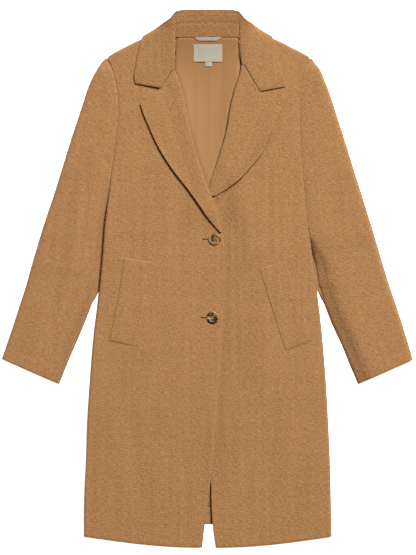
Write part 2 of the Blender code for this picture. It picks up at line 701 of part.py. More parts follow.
def make_button(name):
    """A dished four-hole button that lies on the right front."""
    x, y = BUTTONS[name]
    profile = [(radius, share * BUTTON_HEIGHT) for radius, share in BUTTON_PROFILE]
    mesh = turned_mesh(name, profile, BUTTON_STEPS)
    mesh.shade_smooth()
    button = new_object(name, mesh, "tortoiseshell")
    button.location = (x, y, front_top("right", x, y) + 2 * SEAM_GAP)
    cutter = make_hole_cutter(name + "_holes")
    cutter.location = button.location
    holes = button.modifiers.new("Holes", "BOOLEAN")
    holes.operation = "DIFFERENCE"
    holes.solver = "EXACT"
    holes.object = cutter


def main():
    for old in list(bpy.data.objects):
        bpy.data.objects.remove(old, do_unlink=True)
    make_back()
    make_back_lining()
    for side in ("right", "left"):
        make_front(side)
        make_lapel(side)
        make_sleeve(side)
        make_welt(side)
    make_collar_fall()
    make_collar_stand()
    for name in BUTTONS:
        make_button(name)
    for name in TAPES:
        make_tape(name)


main()
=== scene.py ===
"""Looks of a single-breasted wool coat with notch lapels, lying on its back with its collar towards +Y.

Right and left are the wearer's, so the right front lies at -X. All sizes are in metres.
"""
import math

import bpy
import numpy as np
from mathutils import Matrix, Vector


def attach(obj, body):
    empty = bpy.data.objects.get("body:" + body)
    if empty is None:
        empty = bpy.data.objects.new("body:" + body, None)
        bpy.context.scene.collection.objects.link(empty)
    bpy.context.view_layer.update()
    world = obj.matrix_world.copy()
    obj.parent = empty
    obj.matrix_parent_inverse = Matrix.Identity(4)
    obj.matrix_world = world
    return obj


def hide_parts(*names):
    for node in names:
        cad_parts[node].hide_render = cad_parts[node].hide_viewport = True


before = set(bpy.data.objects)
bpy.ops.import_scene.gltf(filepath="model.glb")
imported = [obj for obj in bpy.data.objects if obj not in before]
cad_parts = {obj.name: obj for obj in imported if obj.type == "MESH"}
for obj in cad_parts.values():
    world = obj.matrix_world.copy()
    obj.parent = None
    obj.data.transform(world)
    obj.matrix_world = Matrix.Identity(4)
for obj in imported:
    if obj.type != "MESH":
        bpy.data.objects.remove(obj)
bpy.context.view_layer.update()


def table(names, rows):
    """A table with named columns, each an array."""
    return dict(zip(names.split(), np.array(rows).T))


# Picture frame, floor and light
FRAME_HEIGHT = 1.110
CAMERA_PLACE = (0.0014, 0.0026, 6.0)
SENSOR = 36.0
FLOOR_SIZE = 40.0
FLOOR_DROP = 0.0004
FLOOR_COLOUR = (0.95, 0.95, 0.95, 1.0)
FLOOR_ROUGHNESS = 0.9
FLOOR_GLOW_COLOUR = (1.0, 1.0, 1.0, 1.0)
FLOOR_GLOW = 0.9
LIGHT_PLACE = (3.7, 6.9, 8.3)
LIGHT_AIM = (0.0, 0.0, 0.0)
LIGHT_SIZE = 3.6
LIGHT_POWER = 3790.0
WORLD_COLOUR = (1.0, 0.76, 0.54, 1.0)
WORLD_STRENGTH = 0.24

# Cloth and the room between its layers
CLOTH = 0.0022
LINING = 0.0010
TAPE = 0.0008
SEAM_GAP = 0.0003
LAYER_GAP = 0.0004
FLOOR_SEAM_GAP = 0.0014
# A shell's rounded rim: its bulge as a share of half the thickness, and its steps
RIM_REACH = 0.6
RIM_STEPS = 3

# Heights of the upper faces above the floor
BODY_TOP = 0.0140
SLEEVE_TOP = 0.0155
SLEEVE_CROWN = 0.06
LINING_TOP = CLOTH + SEAM_GAP + LINING

# Rounded folds: how far each reaches in from the outline, half the roll's height, and turns in degrees
SIDE_FOLD = 0.0045
SHOULDER_FOLD = 0.0130
SLEEVE_FOLD = 0.0100
ROLL_FOLD = 0.0050
ROLL_HALF_HEIGHT = 0.0032
FULL_WRAP = 180.0
ARMHOLE_WRAP = 75.0
ROLL_WRAP = 110.0

# Heights along the body
UNDERARM_LOW = 0.2276
UNDERARM_HIGH = 0.2576
SHOULDER_POINT = 0.4416
NECK_SEAM = 0.4820
SHOULDER_TOP = 0.4830
HEM = -0.5144
LAPEL_BREAK = 0.0856
SHOULDER_CLOSES = (0.4300, 0.4516)
SHOULDER_ROUNDS = (0.4316, 0.4636)

# Hems
FRONT_HEM_DROP = 0.0220
FRONT_HEM_FADE = 0.1500
BACK_HEM_RISE = 0.0240
BACK_HEM_FADE = 0.2000
TURN_UP = 0.0340
BACK_FIRST_ROW = 0.0120
LINING_LAST_ROW = 0.0200
LINING_HEM_GAP = 0.0012
LINING_EDGE_ROOM = 0.0040
CUFF_HEM = 0.0320
CUFF_LINE_DEPTH = 0.0004
CUFF_LINE_WIDTH = 0.0025

# Where one front lies over the other: depths, widths, and where each fades in and out
LAP_DIP = 0.0029
LAP_FADE = 0.0600
LAP_FLAT = 0.0120
LAP_LOW_END = (-0.5000, -0.4000)
LAP_HIGH_END = (0.2000, 0.2700)
EDGE_VALLEY = 0.0020
EDGE_VALLEY_WIDTH = 0.0180
EDGE_VALLEY_LOW_END = (-0.4600, -0.3800)
CROSS_LIFT = 0.0032
CROSS_WIDTH = (-0.0700, -0.0080)
CROSS_LOW_END = (0.0950, 0.1450)
CROSS_HIGH_END = (0.2000, 0.2600)

# Steps of the grids
FRONT_STEPS = {"fold": 12, "flat": 60, "rows": 180}
BACK_STEPS = {"columns": 64, "rows": 90, "turn": 9, "turn_up": 6}
LINING_STEPS = {"columns": 60, "rows": 130}
LAPEL_STEPS = {"rows": 120, "gorge": 15, "top": 30, "fold": 9}
SLEEVE_STEPS = {"fold": 24, "flat": 40, "inner": 60, "rows": 130, "across": 84, "on_top": 60}
COLLAR_STEPS = {"between": 8, "up": 10, "over": 16, "down": 18}
STAND_STEPS = 24
WELT_STEPS = (60, 24)
TAPE_STEPS = (20, 30)

# Buttons: a disc whose rings go up over the rim and down into the dish, four holes and two strands of thread
BUTTON_RADIUS = 0.0125
BUTTON_BASE = 0.0120
BUTTON_RINGS = [
    # radius, height
    (0.0123, 0.0003), (BUTTON_RADIUS, 0.0008), (0.0123, 0.0013), (0.0118, 0.0018), (0.0108, 0.0022),
    (0.0096, 0.0024), (0.0086, 0.0022), (0.0077, 0.0018), (0.0068, 0.0016),
]
BUTTON_SIDES = 64
BUTTON_SHARP_ANGLE = math.radians(35)
HOLE_RADIUS = 0.0011
HOLE_OFFSET = 0.0022
HOLE_SIDES = 20
ROD_LENGTH = 0.0160
THREAD_RADIUS = 0.0006
THREAD_HEIGHT = 0.0019
THREAD_FLATNESS = 0.42
# Steps round a ring and round its tube
STRAND_STEPS = (28, 10)
SLOT_STEPS = (32, 10)

INWARD = {"right": 1.0, "left": -1.0}
OTHER = {"right": "left", "left": "right"}

BODY_SIDES = table("y right left", [
    (-0.5144, -0.2466, 0.2490),
    (-0.4424, -0.2462, 0.2474),
    (-0.3624, -0.2426, 0.2454),
    (-0.2824, -0.2400, 0.2418),
    (-0.2024, -0.2346, 0.2370),
    (-0.1224, -0.2282, 0.2306),
    (-0.0424, -0.2186, 0.2218),
    (0.0476, -0.2098, 0.2094),
    (0.1076, -0.2054, 0.2030),
    (0.1776, -0.1966, 0.1966),
    (0.2276, -0.1910, 0.1922),
    (0.2576, -0.1870, 0.1906),
    (0.3076, -0.1808, 0.1884),
    (0.3476, -0.1790, 0.1886),
    (0.3776, -0.1814, 0.1906),
    (0.4016, -0.1866, 0.1934),
    (0.4216, -0.1930, 0.1982),
    (0.4416, -0.2018, 0.2074),
])
SHOULDERS = table("y right left", [
    (0.4416, -0.2018, 0.2074),
    (0.4516, -0.1866, 0.1904),
    (0.4636, -0.1640, 0.1664),
    (0.4756, -0.1400, 0.1430),
    (0.4796, -0.1300, 0.1325),
    (0.4830, -0.1210, 0.1225),
])

# The front edge up to the lapel's break, then the roll line, then the neckline under the collar
FRONT_EDGES = table("y right left", [
    (-0.5364, -0.0106, 0.0174),
    (-0.4904, -0.0054, 0.0114),
    (-0.4044, 0.0058, 0.0074),
    (-0.2784, 0.0174, 0.0020),
    (-0.1164, 0.0278, -0.0046),
    (0.0256, 0.0354, -0.0066),
    (0.0856, 0.0306, -0.0066),
    (0.1516, 0.0134, -0.0026),
    (0.1836, 0.0014, 0.0028),
    (0.2356, -0.0166, 0.0196),
    (0.2836, -0.0302, 0.0344),
    (0.3576, -0.0454, 0.0482),
    (0.3836, -0.0518, 0.0552),
    (0.4016, -0.0578, 0.0614),
    (0.4156, -0.0640, 0.0650),
    (0.4376, -0.0660, 0.0664),
    (0.4576, -0.0640, 0.0646),
    (0.4830, -0.0640, 0.0646),
])

# The lapel's outer edge from the break up to its tip, then the straight top edge: tip, notch, roll line
LAPEL_EDGES = {
    "right": table("y x", [
        (0.0896, 0.0286), (0.1216, 0.0018), (0.1476, -0.0158), (0.1736, -0.0342), (0.2176, -0.0686),
        (0.2604, -0.0958), (0.3082, -0.1178), (0.3386, -0.1302), (0.3488, -0.1330),
    ]),
    "left": table("y x", [
        (0.1636, 0.0124), (0.1782, 0.0366), (0.1966, 0.0610), (0.2196, 0.0826), (0.2466, 0.1054),
        (0.2868, 0.1246), (0.3168, 0.1380), (0.3384, 0.1482),
    ]),
}
LAPEL_TOPS = {
    "right": table("y x", [(0.3488, -0.1330), (0.3802, -0.0922), (0.4146, -0.0690)]),
    "left": table("y x", [(0.3384, 0.1482), (0.3736, 0.1050), (0.4270, 0.0722)]),
}
LAPEL_LOW_ENDS = {"right": 0.0935, "left": 0.1650}
# How far the front's cut edge lies back from the roll line, and how wide the roll's bulge is
ROLL_SET_BACK = 0.0042
ROLL_SET_BACK_FADE = 0.0300
ROLL_SPREAD = 0.0280
# The share of the front's creases that the lapel follows
LAPEL_FOLLOWS = 0.4
# Where the edge starts to lift, counted from the low end, and how much less it lifts at the tip
LAPEL_LIFT_START = (0.0050, 0.0500)
LAPEL_TIP = (0.2700, 0.3500)
LAPEL_TIP_LOSS = 0.35
# How high the roll stands at its top and low end, how far the edge lifts, and the turn of the weave
LAPEL_ROLLS = {
    "right": {"high": 0.0034, "low": 0.0016, "edge_lift": 0.0028, "grain": 0.32},
    "left": {"high": 0.0014, "low": 0.0002, "edge_lift": 0.0018, "grain": -0.34},
}
# The heights between which the roll rises
LAPEL_RISE = (0.1700, 0.4000)

# Each sleeve row runs from its outer to its inner edge; beside the body the inner edge follows the body
SLEEVES = {
    "right": table("inner_y inner_x outer_x outer_y", [
        (-0.2104, -0.2956, -0.4106, -0.1594),
        (-0.1504, -0.2706, -0.3936, -0.1104),
        (-0.0904, -0.2456, -0.3766, -0.0584),
        (-0.0344, -0.2216, -0.3606, -0.0084),
        (0.0176, -0.2130, -0.3506, 0.0276),
        (0.0936, -0.2070, -0.3286, 0.1016),
        (0.1616, -0.1990, -0.3066, 0.1676),
        (0.2376, -0.1900, -0.2866, 0.2316),
        (0.2836, -0.1840, -0.2706, 0.2836),
        (0.3336, -0.1800, -0.2566, 0.3256),
        (0.3666, -0.1810, -0.2436, 0.3656),
        (0.3976, -0.1860, -0.2326, 0.3956),
        (0.4216, -0.1935, -0.2186, 0.4216),
        (0.4336, -0.1985, -0.2106, 0.4336),
        (0.4396, -0.2012, -0.2052, 0.4396),
    ]),
    "left": table("inner_y inner_x outer_x outer_y", [
        (-0.2104, 0.3004, 0.4110, -0.1612),
        (-0.1504, 0.2760, 0.3960, -0.1104),
        (-0.0904, 0.2494, 0.3794, -0.0584),
        (-0.0344, 0.2262, 0.3624, -0.0084),
        (0.0176, 0.2145, 0.3514, 0.0276),
        (0.0936, 0.2050, 0.3296, 0.1016),
        (0.1616, 0.1985, 0.3090, 0.1676),
        (0.2376, 0.1920, 0.2890, 0.2316),
        (0.2836, 0.1895, 0.2728, 0.2836),
        (0.3336, 0.1890, 0.2594, 0.3256),
        (0.3666, 0.1905, 0.2464, 0.3656),
        (0.3976, 0.1935, 0.2350, 0.3956),
        (0.4216, 0.1990, 0.2234, 0.4216),
        (0.4336, 0.2040, 0.2134, 0.4336),
        (0.4396, 0.2068, 0.2096, 0.4396),
    ]),
}
SLEEVE_LEAVES_BODY = -0.0184
# The dark slit between sleeve and body: its full width, the heights where it is open and shut, and how far
# the sleeve reaches on under the body, down to the tip of the wedge of floor
SLIT_WIDTHS = {"right": 0.0034, "left": 0.0020}
SLIT_OPENS = {"right": (0.0000, 0.2500), "left": (0.0150, 0.1050)}
SLIT_FADE = -0.0900
SLIT_FLOOR_REACH = 0.0048
WEDGE_TIP = -0.0500
# How far the sleeve is drawn over the body's edge where the slit is shut
SEAM_OVERLAPS = {"right": 0.0034, "left": 0.0050}
# The sleeve's front seam comes up onto the upper face between these heights, this far from the inner edge
SLEEVE_SEAMS = {"right": (0.0276, -0.0184), "left": (0.0900, 0.0400)}
SLEEVE_SEAM_INSET = 0.0220
SEAM_RIDGE = 0.0007
SEAM_RIDGE_WIDTH = 0.0030
# The sleeve's inner side: distance past the inner edge, and height as a share of the full one
INNER_SLOPES = {
    "right": [
        (-0.0300, 0.98), (-0.0200, 0.86), (-0.0140, 0.64), (-0.0094, 0.38), (-0.0056, 0.19),
        (-0.0022, 0.08), (0.0, 0.03), (-0.0060, 0.0),
    ],
    "left": [
        (-0.0400, 1.00), (-0.0300, 0.94), (-0.0200, 0.71), (-0.0100, 0.46), (-0.0044, 0.31),
        (-0.0014, 0.09), (0.0, 0.03), (-0.0060, 0.0),
    ],
}
ARMHOLE_ROUND = [
    (-0.0300, 1.00), (-0.0120, 0.96), (-0.0040, 0.92), (-0.0012, 0.85), (0.0, 0.60), (-0.0008, 0.28),
    (-0.0028, 0.08), (-0.0070, 0.0),
]
# The rows of the inner side between which it turns under, and the width from which it has its full reach
INNER_TURNS_UNDER = (5.2, 6.2)
INNER_FULL_WIDTH = 0.0500
# At the shoulder, where a section is narrow, its fold is a share of its width and its height is less
SLEEVE_FOLD_SHARE = 0.3
NARROW_LEAST = 0.45
NARROW_WIDTH = 0.0600
# Shares of the height between which creases and seam lines fade in on the upper face
CREASE_ON_TOP = (0.5, 0.95)
LINE_ON_TOP = (0.5, 0.9)
# The weave runs this much longer down the sleeve than in the plan
SLEEVE_GRAIN_STRETCH = 1.06

# Soft troughs and ridges in plan: start, end, sideways bow of the middle, half width, height.
# Each fades in and out between these shares of its length.
CREASE_START = (-0.15, 0.25)
CREASE_END = (0.70, 1.15)
CREASE_COLUMNS = "start_x start_y end_x end_y bow width height"
CREASES = {
    "sleeve_right": table(CREASE_COLUMNS, [
        (-0.2400, 0.2500, -0.2580, 0.0300, 0.004, 0.0090, -0.0013),
        (-0.2830, 0.0976, -0.3110, -0.1300, -0.006, 0.0110, -0.0015),
        (-0.2586, 0.2176, -0.3000, 0.1000, 0.004, 0.0080, -0.0007),
        (-0.2560, 0.1500, -0.2760, 0.0200, 0.002, 0.0070, 0.0007),
        (-0.3186, -0.0700, -0.3380, -0.1500, 0.003, 0.0100, -0.0007),
        (-0.3300, 0.0500, -0.3700, -0.0900, -0.003, 0.0140, 0.0006),
        (-0.2060, 0.4000, -0.2160, 0.3300, 0.003, 0.0090, -0.0009),
        (-0.2080, 0.2450, -0.1950, 0.2300, 0.000, 0.0060, -0.0014),
        (-0.2200, 0.3000, -0.2150, 0.2550, 0.002, 0.0080, -0.0006),
    ]),
    "sleeve_left": table(CREASE_COLUMNS, [
        (0.2880, 0.1300, 0.3280, -0.1000, -0.006, 0.0150, -0.0008),
        (0.2500, 0.2400, 0.2700, 0.0700, 0.003, 0.0110, -0.0007),
        (0.3300, 0.0600, 0.3640, -0.0800, 0.003, 0.0120, 0.0006),
        (0.2080, 0.2500, 0.1980, 0.2320, 0.000, 0.0060, -0.0012),
        (0.2140, 0.3900, 0.2240, 0.3300, -0.003, 0.0090, -0.0008),
        (0.3000, -0.0500, 0.3250, -0.1500, 0.002, 0.0100, -0.0006),
    ]),
    "front_right": table(CREASE_COLUMNS, [
        (-0.1200, 0.3200, 0.0100, 0.1150, 0.000, 0.0100, -0.0008),
        (-0.1790, 0.2330, -0.1840, 0.1100, 0.002, 0.0090, -0.0007),
        (-0.1066, 0.1480, -0.1066, 0.0360, 0.001, 0.0034, 0.0004),
        (-0.1500, 0.3600, -0.1300, 0.2300, 0.004, 0.0160, -0.0008),
        (-0.0700, 0.0500, -0.1000, -0.3000, 0.006, 0.0220, 0.0006),
        (-0.0300, -0.1200, -0.0500, -0.4600, -0.005, 0.0200, -0.0006),
        (-0.1700, -0.1700, -0.1900, -0.4800, 0.006, 0.0220, -0.0007),
    ]),
    "front_left": table(CREASE_COLUMNS, [
        (0.0420, -0.0400, 0.0980, 0.0420, 0.003, 0.0110, -0.0012),
        (0.1290, 0.1260, 0.1080, 0.0700, 0.001, 0.0060, -0.0009),
        (0.1040, 0.2000, 0.1060, 0.0900, 0.000, 0.0080, 0.0006),
        (0.1500, 0.3500, 0.1450, 0.2300, -0.003, 0.0160, -0.0007),
        (0.0600, -0.1300, 0.0800, -0.4600, 0.006, 0.0220, -0.0006),
        (0.1500, -0.1900, 0.1750, -0.4800, -0.005, 0.0200, 0.0006),
        (0.1320, 0.2860, 0.0235, 0.1460, -0.002, 0.0076, -0.0074),
        (0.0260, 0.1600, 0.0420, 0.0850, 0.000, 0.0160, -0.0024),
        (0.0800, 0.1800, 0.0800, 0.0500, 0.004, 0.0240, 0.0014),
    ]),
    "lapel_right": table(CREASE_COLUMNS, [
        (-0.0800, 0.3300, -0.0300, 0.1900, 0.003, 0.0140, -0.0006),
    ]),
    "lapel_left": table(CREASE_COLUMNS, [
        (0.0900, 0.3200, 0.0450, 0.2100, -0.003, 0.0140, -0.0006),
    ]),
    "lining": table(CREASE_COLUMNS, [
        (-0.0200, 0.4720, -0.0280, 0.3600, 0.002, 0.0060, -0.0006),
        (0.0330, 0.4640, 0.0240, 0.3400, -0.002, 0.0070, -0.0006),
        (0.0060, 0.4200, 0.0030, 0.2200, 0.002, 0.0100, 0.0007),
        (-0.0500, 0.4600, -0.0250, 0.2600, 0.003, 0.0090, -0.0006),
    ]),
    "back": table(CREASE_COLUMNS, [
        (-0.1200, 0.3000, -0.0800, -0.1500, 0.010, 0.0240, 0.0004),
        (0.0900, 0.2500, 0.1200, -0.3000, -0.012, 0.0220, 0.0004),
    ]),
}

# Lines along the collar, each with a row (x, y, z) from the notch end to the centre back
COLLAR_LINES = {
    "seam": [
        (0.0660, 0.4120, 0.0172), (0.0648, 0.4376, 0.0202), (0.0640, 0.4656, 0.0240),
        (0.0636, 0.4936, 0.0280), (0.0632, 0.5096, 0.0316), (0.0618, 0.5200, 0.0342),
        (0.0550, 0.5262, 0.0356), (0.0000, 0.5272, 0.0358),
    ],
    "roll": [
        (0.0706, 0.4156, 0.0206), (0.0706, 0.4376, 0.0232), (0.0698, 0.4656, 0.0264),
        (0.0692, 0.4936, 0.0300), (0.0684, 0.5126, 0.0334), (0.0660, 0.5262, 0.0358),
        (0.0560, 0.5336, 0.0372), (0.0000, 0.5350, 0.0374),
    ],
    "break": [
        (0.0922, 0.3810, 0.0175), (0.1046, 0.4256, 0.0187), (0.1006, 0.4576, 0.0205),
        (0.0956, 0.4886, 0.0205), (0.0926, 0.5066, 0.0195), (0.0776, 0.5168, 0.0180),
        (0.0556, 0.5348, 0.0170), (0.0000, 0.5363, 0.0170),
    ],
    "edge": [
        (0.1432, 0.3900, 0.0174), (0.1458, 0.4076, 0.0174), (0.1394, 0.4416, 0.0172),
        (0.1316, 0.4776, 0.0170), (0.1240, 0.4876, 0.0095), (0.1006, 0.4910, 0.0000),
        (0.0586, 0.4880, 0.0000), (0.0000, 0.4880, 0.0000),
    ],
}
# The wearer's left end of the collar lies a little lower and further out; the next row moves part way
COLLAR_LEFT_END = {
    "seam": (0.0690, 0.4244, 0.0166),
    "roll": (0.0736, 0.4280, 0.0192),
    "break": (0.1050, 0.3746, 0.0170),
    "edge": (0.1562, 0.3840, 0.0168),
}
COLLAR_LEFT_SHARE = 0.4
# How much lower the wearer's left side of the roll and its seam lie, row by row
COLLAR_LEFT_DROPS = (0.0, 0.0024, 0.0036, 0.0030, 0.0016, 0.0, 0.0, 0.0)
# The stand's neck edge, from beside the notch end to the centre back
STAND_BASE = [
    (0.0646, 0.4376, 0.0150), (0.0642, 0.4630, 0.0190), (0.0634, 0.4780, 0.0229), (0.0606, 0.4816, 0.0243),
    (0.0540, 0.4814, 0.0247), (0.0386, 0.4814, 0.0247), (0.0000, 0.4814, 0.0247),
]
# The stand's gap at the fall, and its sewn line: place and width as shares of its height, and depth
STAND_GAP = 0.0002
STAND_LINE = 0.62
STAND_LINE_DEPTH = 0.0005
STAND_LINE_WIDTH = 0.06
# The part of the collar that turns down behind the neck, counted in rows from the notch end
BACK_TURN = (3.2, 4.8)
# The collar lifts the back and its lining: the rise at the neck seam, its start, steepness and half widths
NECK_RISE = 0.0205
NECK_RISE_START = 0.3350
NECK_STEEPNESS = 2.4
NECK_LIFTED = 0.0650
NECK_FLAT = 0.0720
# The lining also rises towards each roll line: how far, from how far in, and between which heights
LINING_SIDE_LIFTS = {"right": 0.0030, "left": 0.0070}
LINING_SIDE_REACH = 0.0600
LINING_SIDE_LOW_END = (0.1400, 0.2000)
LINING_SIDE_HIGH_END = (0.3900, 0.4650)
LINING_UNDER_ROLL = 0.0060

# Corners (x, y) of the slanted pocket welts in the order: outer top, inner top, outer bottom, inner bottom
WELTS = {
    "right": [(-0.1656, 0.0422), (-0.1080, 0.0328), (-0.1952, -0.1240), (-0.1402, -0.1352)],
    "left": [(0.1548, 0.0356), (0.1044, 0.0206), (0.2080, -0.1234), (0.1564, -0.1434)],
}
# How high a welt's outer and inner edges stand, how far its outer edge is bowed in, and its shell
WELT_HEIGHTS = {"right": (0.0017, 0.0008), "left": (0.0012, 0.0009)}
WELT_BOWS = {"right": 0.0026, "left": 0.0}
WELT_END_SHARE = 0.4
WELT_END_POWER = 24
WELT_CLOTH = 0.0010

BUTTONS = {"upper": (0.0144, 0.0794), "lower": (0.0110, -0.0772)}
# Ends of a buttonhole beside its button, and its rings: half width and radius of the tube. The slit ring is
# a near-black painted shadow inside the slot.
BUTTONHOLE_LEFT = 0.0230
BUTTONHOLE_RIGHT = 0.0020
BUTTONHOLE_RINGS = {"edge": {"half": 0.0011, "tube": 0.0005}, "slit": {"half": 0.0006, "tube": 0.0008}}
# Points past this are on the end of a ring that is drawn out to make the slot
PAST_MIDDLE = 0.00001

TAPE_BOW = 0.0006
# Corners (x, y): top right, top left, bottom right, bottom left, as the wearer has them
TAPES = {
    "neck_label": [(-0.0274, 0.4666), (0.0296, 0.4666), (-0.0274, 0.4330), (0.0296, 0.4330)],
    "size_tab": [(-0.0042, 0.4327), (0.0094, 0.4327), (-0.0042, 0.4240), (0.0094, 0.4240)],
    "hanger_loop": [(-0.0260, 0.4808), (0.0292, 0.4808), (-0.0186, 0.4744), (0.0202, 0.4744)],
}


def ramp(value, start, end):
    """0 before start, 1 after end, smooth between."""
    share = np.clip((value - start) / (end - start), 0.0, 1.0)
    return share * share * (3 - 2 * share)


def curve(at, stations, values):
    """Smooth curve through values at rising stations, read at one or more places."""
    slopes = np.gradient(values, stations)
    at = np.clip(at, stations[0], stations[-1])
    index = np.clip(np.searchsorted(stations, at) - 1, 0, len(stations) - 2)
    step = stations[index + 1] - stations[index]
    share = (at - stations[index]) / step
    rest = 1 - share
    ends = values[index] * rest**2 * (1 + 2 * share) + values[index + 1] * share**2 * (3 - 2 * share)
    return ends + step * share * rest * (slopes[index] * rest - slopes[index + 1] * share)


def body_side(side, y):
    """X of the body's outline: side fold and armhole, or the shoulder above the shoulder point."""
    outline = BODY_SIDES if y <= SHOULDER_POINT else SHOULDERS
    return curve(y, outline["y"], outline[side])


def roll_line(side, y):
    return curve(y, FRONT_EDGES["y"], FRONT_EDGES[side])


def front_edge(side, y):
    """X of the front's cut edge, which lies back from the roll line above the lapel's break."""
    set_back = ROLL_SET_BACK * ramp(y, LAPEL_BREAK, LAPEL_BREAK + ROLL_SET_BACK_FADE)
    return roll_line(side, y) - INWARD[side] * set_back


def relief(group, x, y):
    """Height that the creases of a group add at each place."""
    rows = CREASES[group]
    total = np.zeros(np.shape(x))
    for row in zip(*(rows[name] for name in CREASE_COLUMNS.split())):
        start_x, start_y, end_x, end_y, bow, width, height = row
        run_x = end_x - start_x
        run_y = end_y - start_y
        length = math.hypot(run_x, run_y)
        down = ((x - start_x) * run_x + (y - start_y) * run_y) / length**2
        aside = ((y - start_y) * run_x - (x - start_x) * run_y) / length
        aside = aside - 4 * bow * down * (1 - down)
        ends = ramp(down, *CREASE_START) * (1 - ramp(down, *CREASE_END))
        total = total + height * ends * np.exp(-((aside / width) ** 2))
    return total


def front_top(side, x, y):
    """Height of a front's upper face: the left dips under the right, the right lifts over the left lapel."""
    if side == "left":
        past_edge = x - roll_line("right", y)
        covered = ramp(LAP_FADE - past_edge, 0.0, LAP_FADE - LAP_FLAT)
        lap = LAP_DIP * covered * ramp(y, *LAP_LOW_END)
        valley = EDGE_VALLEY * (1 - ramp(past_edge, 0.0, EDGE_VALLEY_WIDTH)) * ramp(y, *EDGE_VALLEY_LOW_END)
        return BODY_TOP - (lap + valley) * (1 - ramp(y, *LAP_HIGH_END))
    near_edge = ramp(x, *CROSS_WIDTH)
    return BODY_TOP + CROSS_LIFT * near_edge * ramp(y, *CROSS_LOW_END) * (1 - ramp(y, *CROSS_HIGH_END))


def front_face(side, x, y):
    """The upper face with its creases, never lower than the lining allows."""
    top = front_top(side, x, y) + relief("front_" + side, x, y)
    return np.maximum(top, LINING_TOP + SEAM_GAP + CLOTH)


def fold_path(wrap, fold, steps):
    """A rounded edge from its lower end up to the top: distance across, and share of the full height."""
    angles = np.radians(np.linspace(wrap, 0.0, steps))
    reach = np.sin(np.radians(min(wrap, 90.0)))
    return fold * (reach - np.sin(angles)), (1 + np.cos(angles)) / 2


def side_wrap(y):
    """How far round, in degrees, and how far in the front's outer edge is folded at this height."""
    closed = 1 - ramp(y, UNDERARM_LOW, UNDERARM_HIGH) + ramp(y, *SHOULDER_CLOSES)
    on_shoulder = ramp(y, *SHOULDER_ROUNDS)
    wrap = ARMHOLE_WRAP + (FULL_WRAP - ARMHOLE_WRAP) * closed
    return wrap, SIDE_FOLD + (SHOULDER_FOLD - SIDE_FOLD) * on_shoulder


class Value:
    """A number from a shader node. Sums and products of it add Math nodes."""

    def __init__(self, finish, socket):
        self.finish = finish
        self.socket = socket

    def maths(self, operation, *values):
        return self.finish.add("ShaderNodeMath", {"operation": operation}, dict(enumerate(values)))

    def __add__(self, other):
        return self.maths("ADD", self, other)

    def __radd__(self, other):
        return self.maths("ADD", other, self)

    def __sub__(self, other):
        return self.maths("SUBTRACT", self, other)

    def __rsub__(self, other):
        return self.maths("SUBTRACT", other, self)

    def __mul__(self, other):
        return self.maths("MULTIPLY", self, other)

    def __rmul__(self, other):
        return self.maths("MULTIPLY", other, self)


class Finish:
    """A material with one Principled shader, and the nodes that feed it."""

    def __init__(self, name, constants):
        self.material = bpy.data.materials.new(name)
        self.material.use_nodes = True
        self.tree = self.material.node_tree
        self.shader = self.tree.nodes["Principled BSDF"]
        for socket, value in constants.items():
            self.shader.inputs[socket].default_value = value

    def add(self, kind, settings, sockets, output=0):
        """A node: its settings first, then a value or a link for each named or numbered socket."""
        node = self.tree.nodes.new(kind)
        for name, value in settings.items():
            if name == "stops":
                self.set_stops(node.color_ramp, value)
            else:
                setattr(node, name, value)
        for name, value in sockets.items():
            self.feed(node.inputs[name], value)
        return Value(self, node.outputs[output])

    def set_stops(self, colours, stops):
        while len(colours.elements) < len(stops):
            colours.elements.new(0.5)
        for element, (place, colour) in zip(colours.elements, stops):
            element.position = place
            element.color = (*colour, 1.0)

    def feed(self, socket, value):
        if isinstance(value, Value):
            self.tree.links.new(value.socket, socket)
        else:
            socket.default_value = value

    def surface(self, **sockets):
        for name, value in sockets.items():
            self.feed(self.shader.inputs[name.replace("_", " ")], value)

    def place(self, across, down):
        """The cloth's own coordinates, counted in threads or patches of this size."""
        cloth = self.add("ShaderNodeUVMap", {"uv_map": "cloth"}, {})
        per_size = (1 / across, 1 / down, 0.0)
        return self.add("ShaderNodeVectorMath", {"operation": "MULTIPLY"}, {0: cloth, 1: per_size})

    def noise(self, across, down, detail=1.0):
        return self.add("ShaderNodeTexNoise", {"noise_dimensions": "2D"},
                        {"Vector": self.place(across, down), "Scale": 1.0, "Detail": detail})

    def mix(self, share, first, second):
        """A blend of two colours: sockets 6 and 7 are the node's colour inputs, and output 2 its colour."""
        colours = {0: share, 6: (*first, 1.0), 7: (*second, 1.0)}
        return self.add("ShaderNodeMix", {"data_type": "RGBA"}, colours, 2)

    def bump(self, height, distance, strength):
        sockets = {"Height": height, "Distance": distance, "Strength": strength}
        return self.add("ShaderNodeBump", {}, sockets)


def wool_finish():
    """Slubby plain weave: thick and thin threads both ways, with a short nap."""
    sheen = {"Sheen Weight": 0.03, "Sheen Roughness": 0.6, "Specular IOR Level": 0.2}
    finish = Finish("slubby_wool", sheen)
    warp = finish.noise(0.0016, 0.0080)
    weft = finish.noise(0.0080, 0.0016)
    warp_slub = finish.noise(0.0100, 0.2500)
    weft_slub = finish.noise(0.2500, 0.0120)
    nap = finish.noise(0.0012, 0.0012)
    patches = finish.noise(0.0500, 0.0900)
    threads = warp + weft + nap * 0.5
    slubs = (warp_slub - 0.5) * 0.22 + (weft_slub - 0.5) * 0.12 + (patches - 0.5) * 0.08
    tone = 0.5 + (threads - 1.25) * 0.70 + slubs
    finish.surface(
        Base_Color=finish.mix(tone, (0.124, 0.0520, 0.0168), (0.262, 0.1390, 0.0535)),
        Roughness=0.80 + nap * 0.20,
        Normal=finish.bump(threads + warp_slub * 0.3, 0.0012, 0.70),
    )
    return finish.material


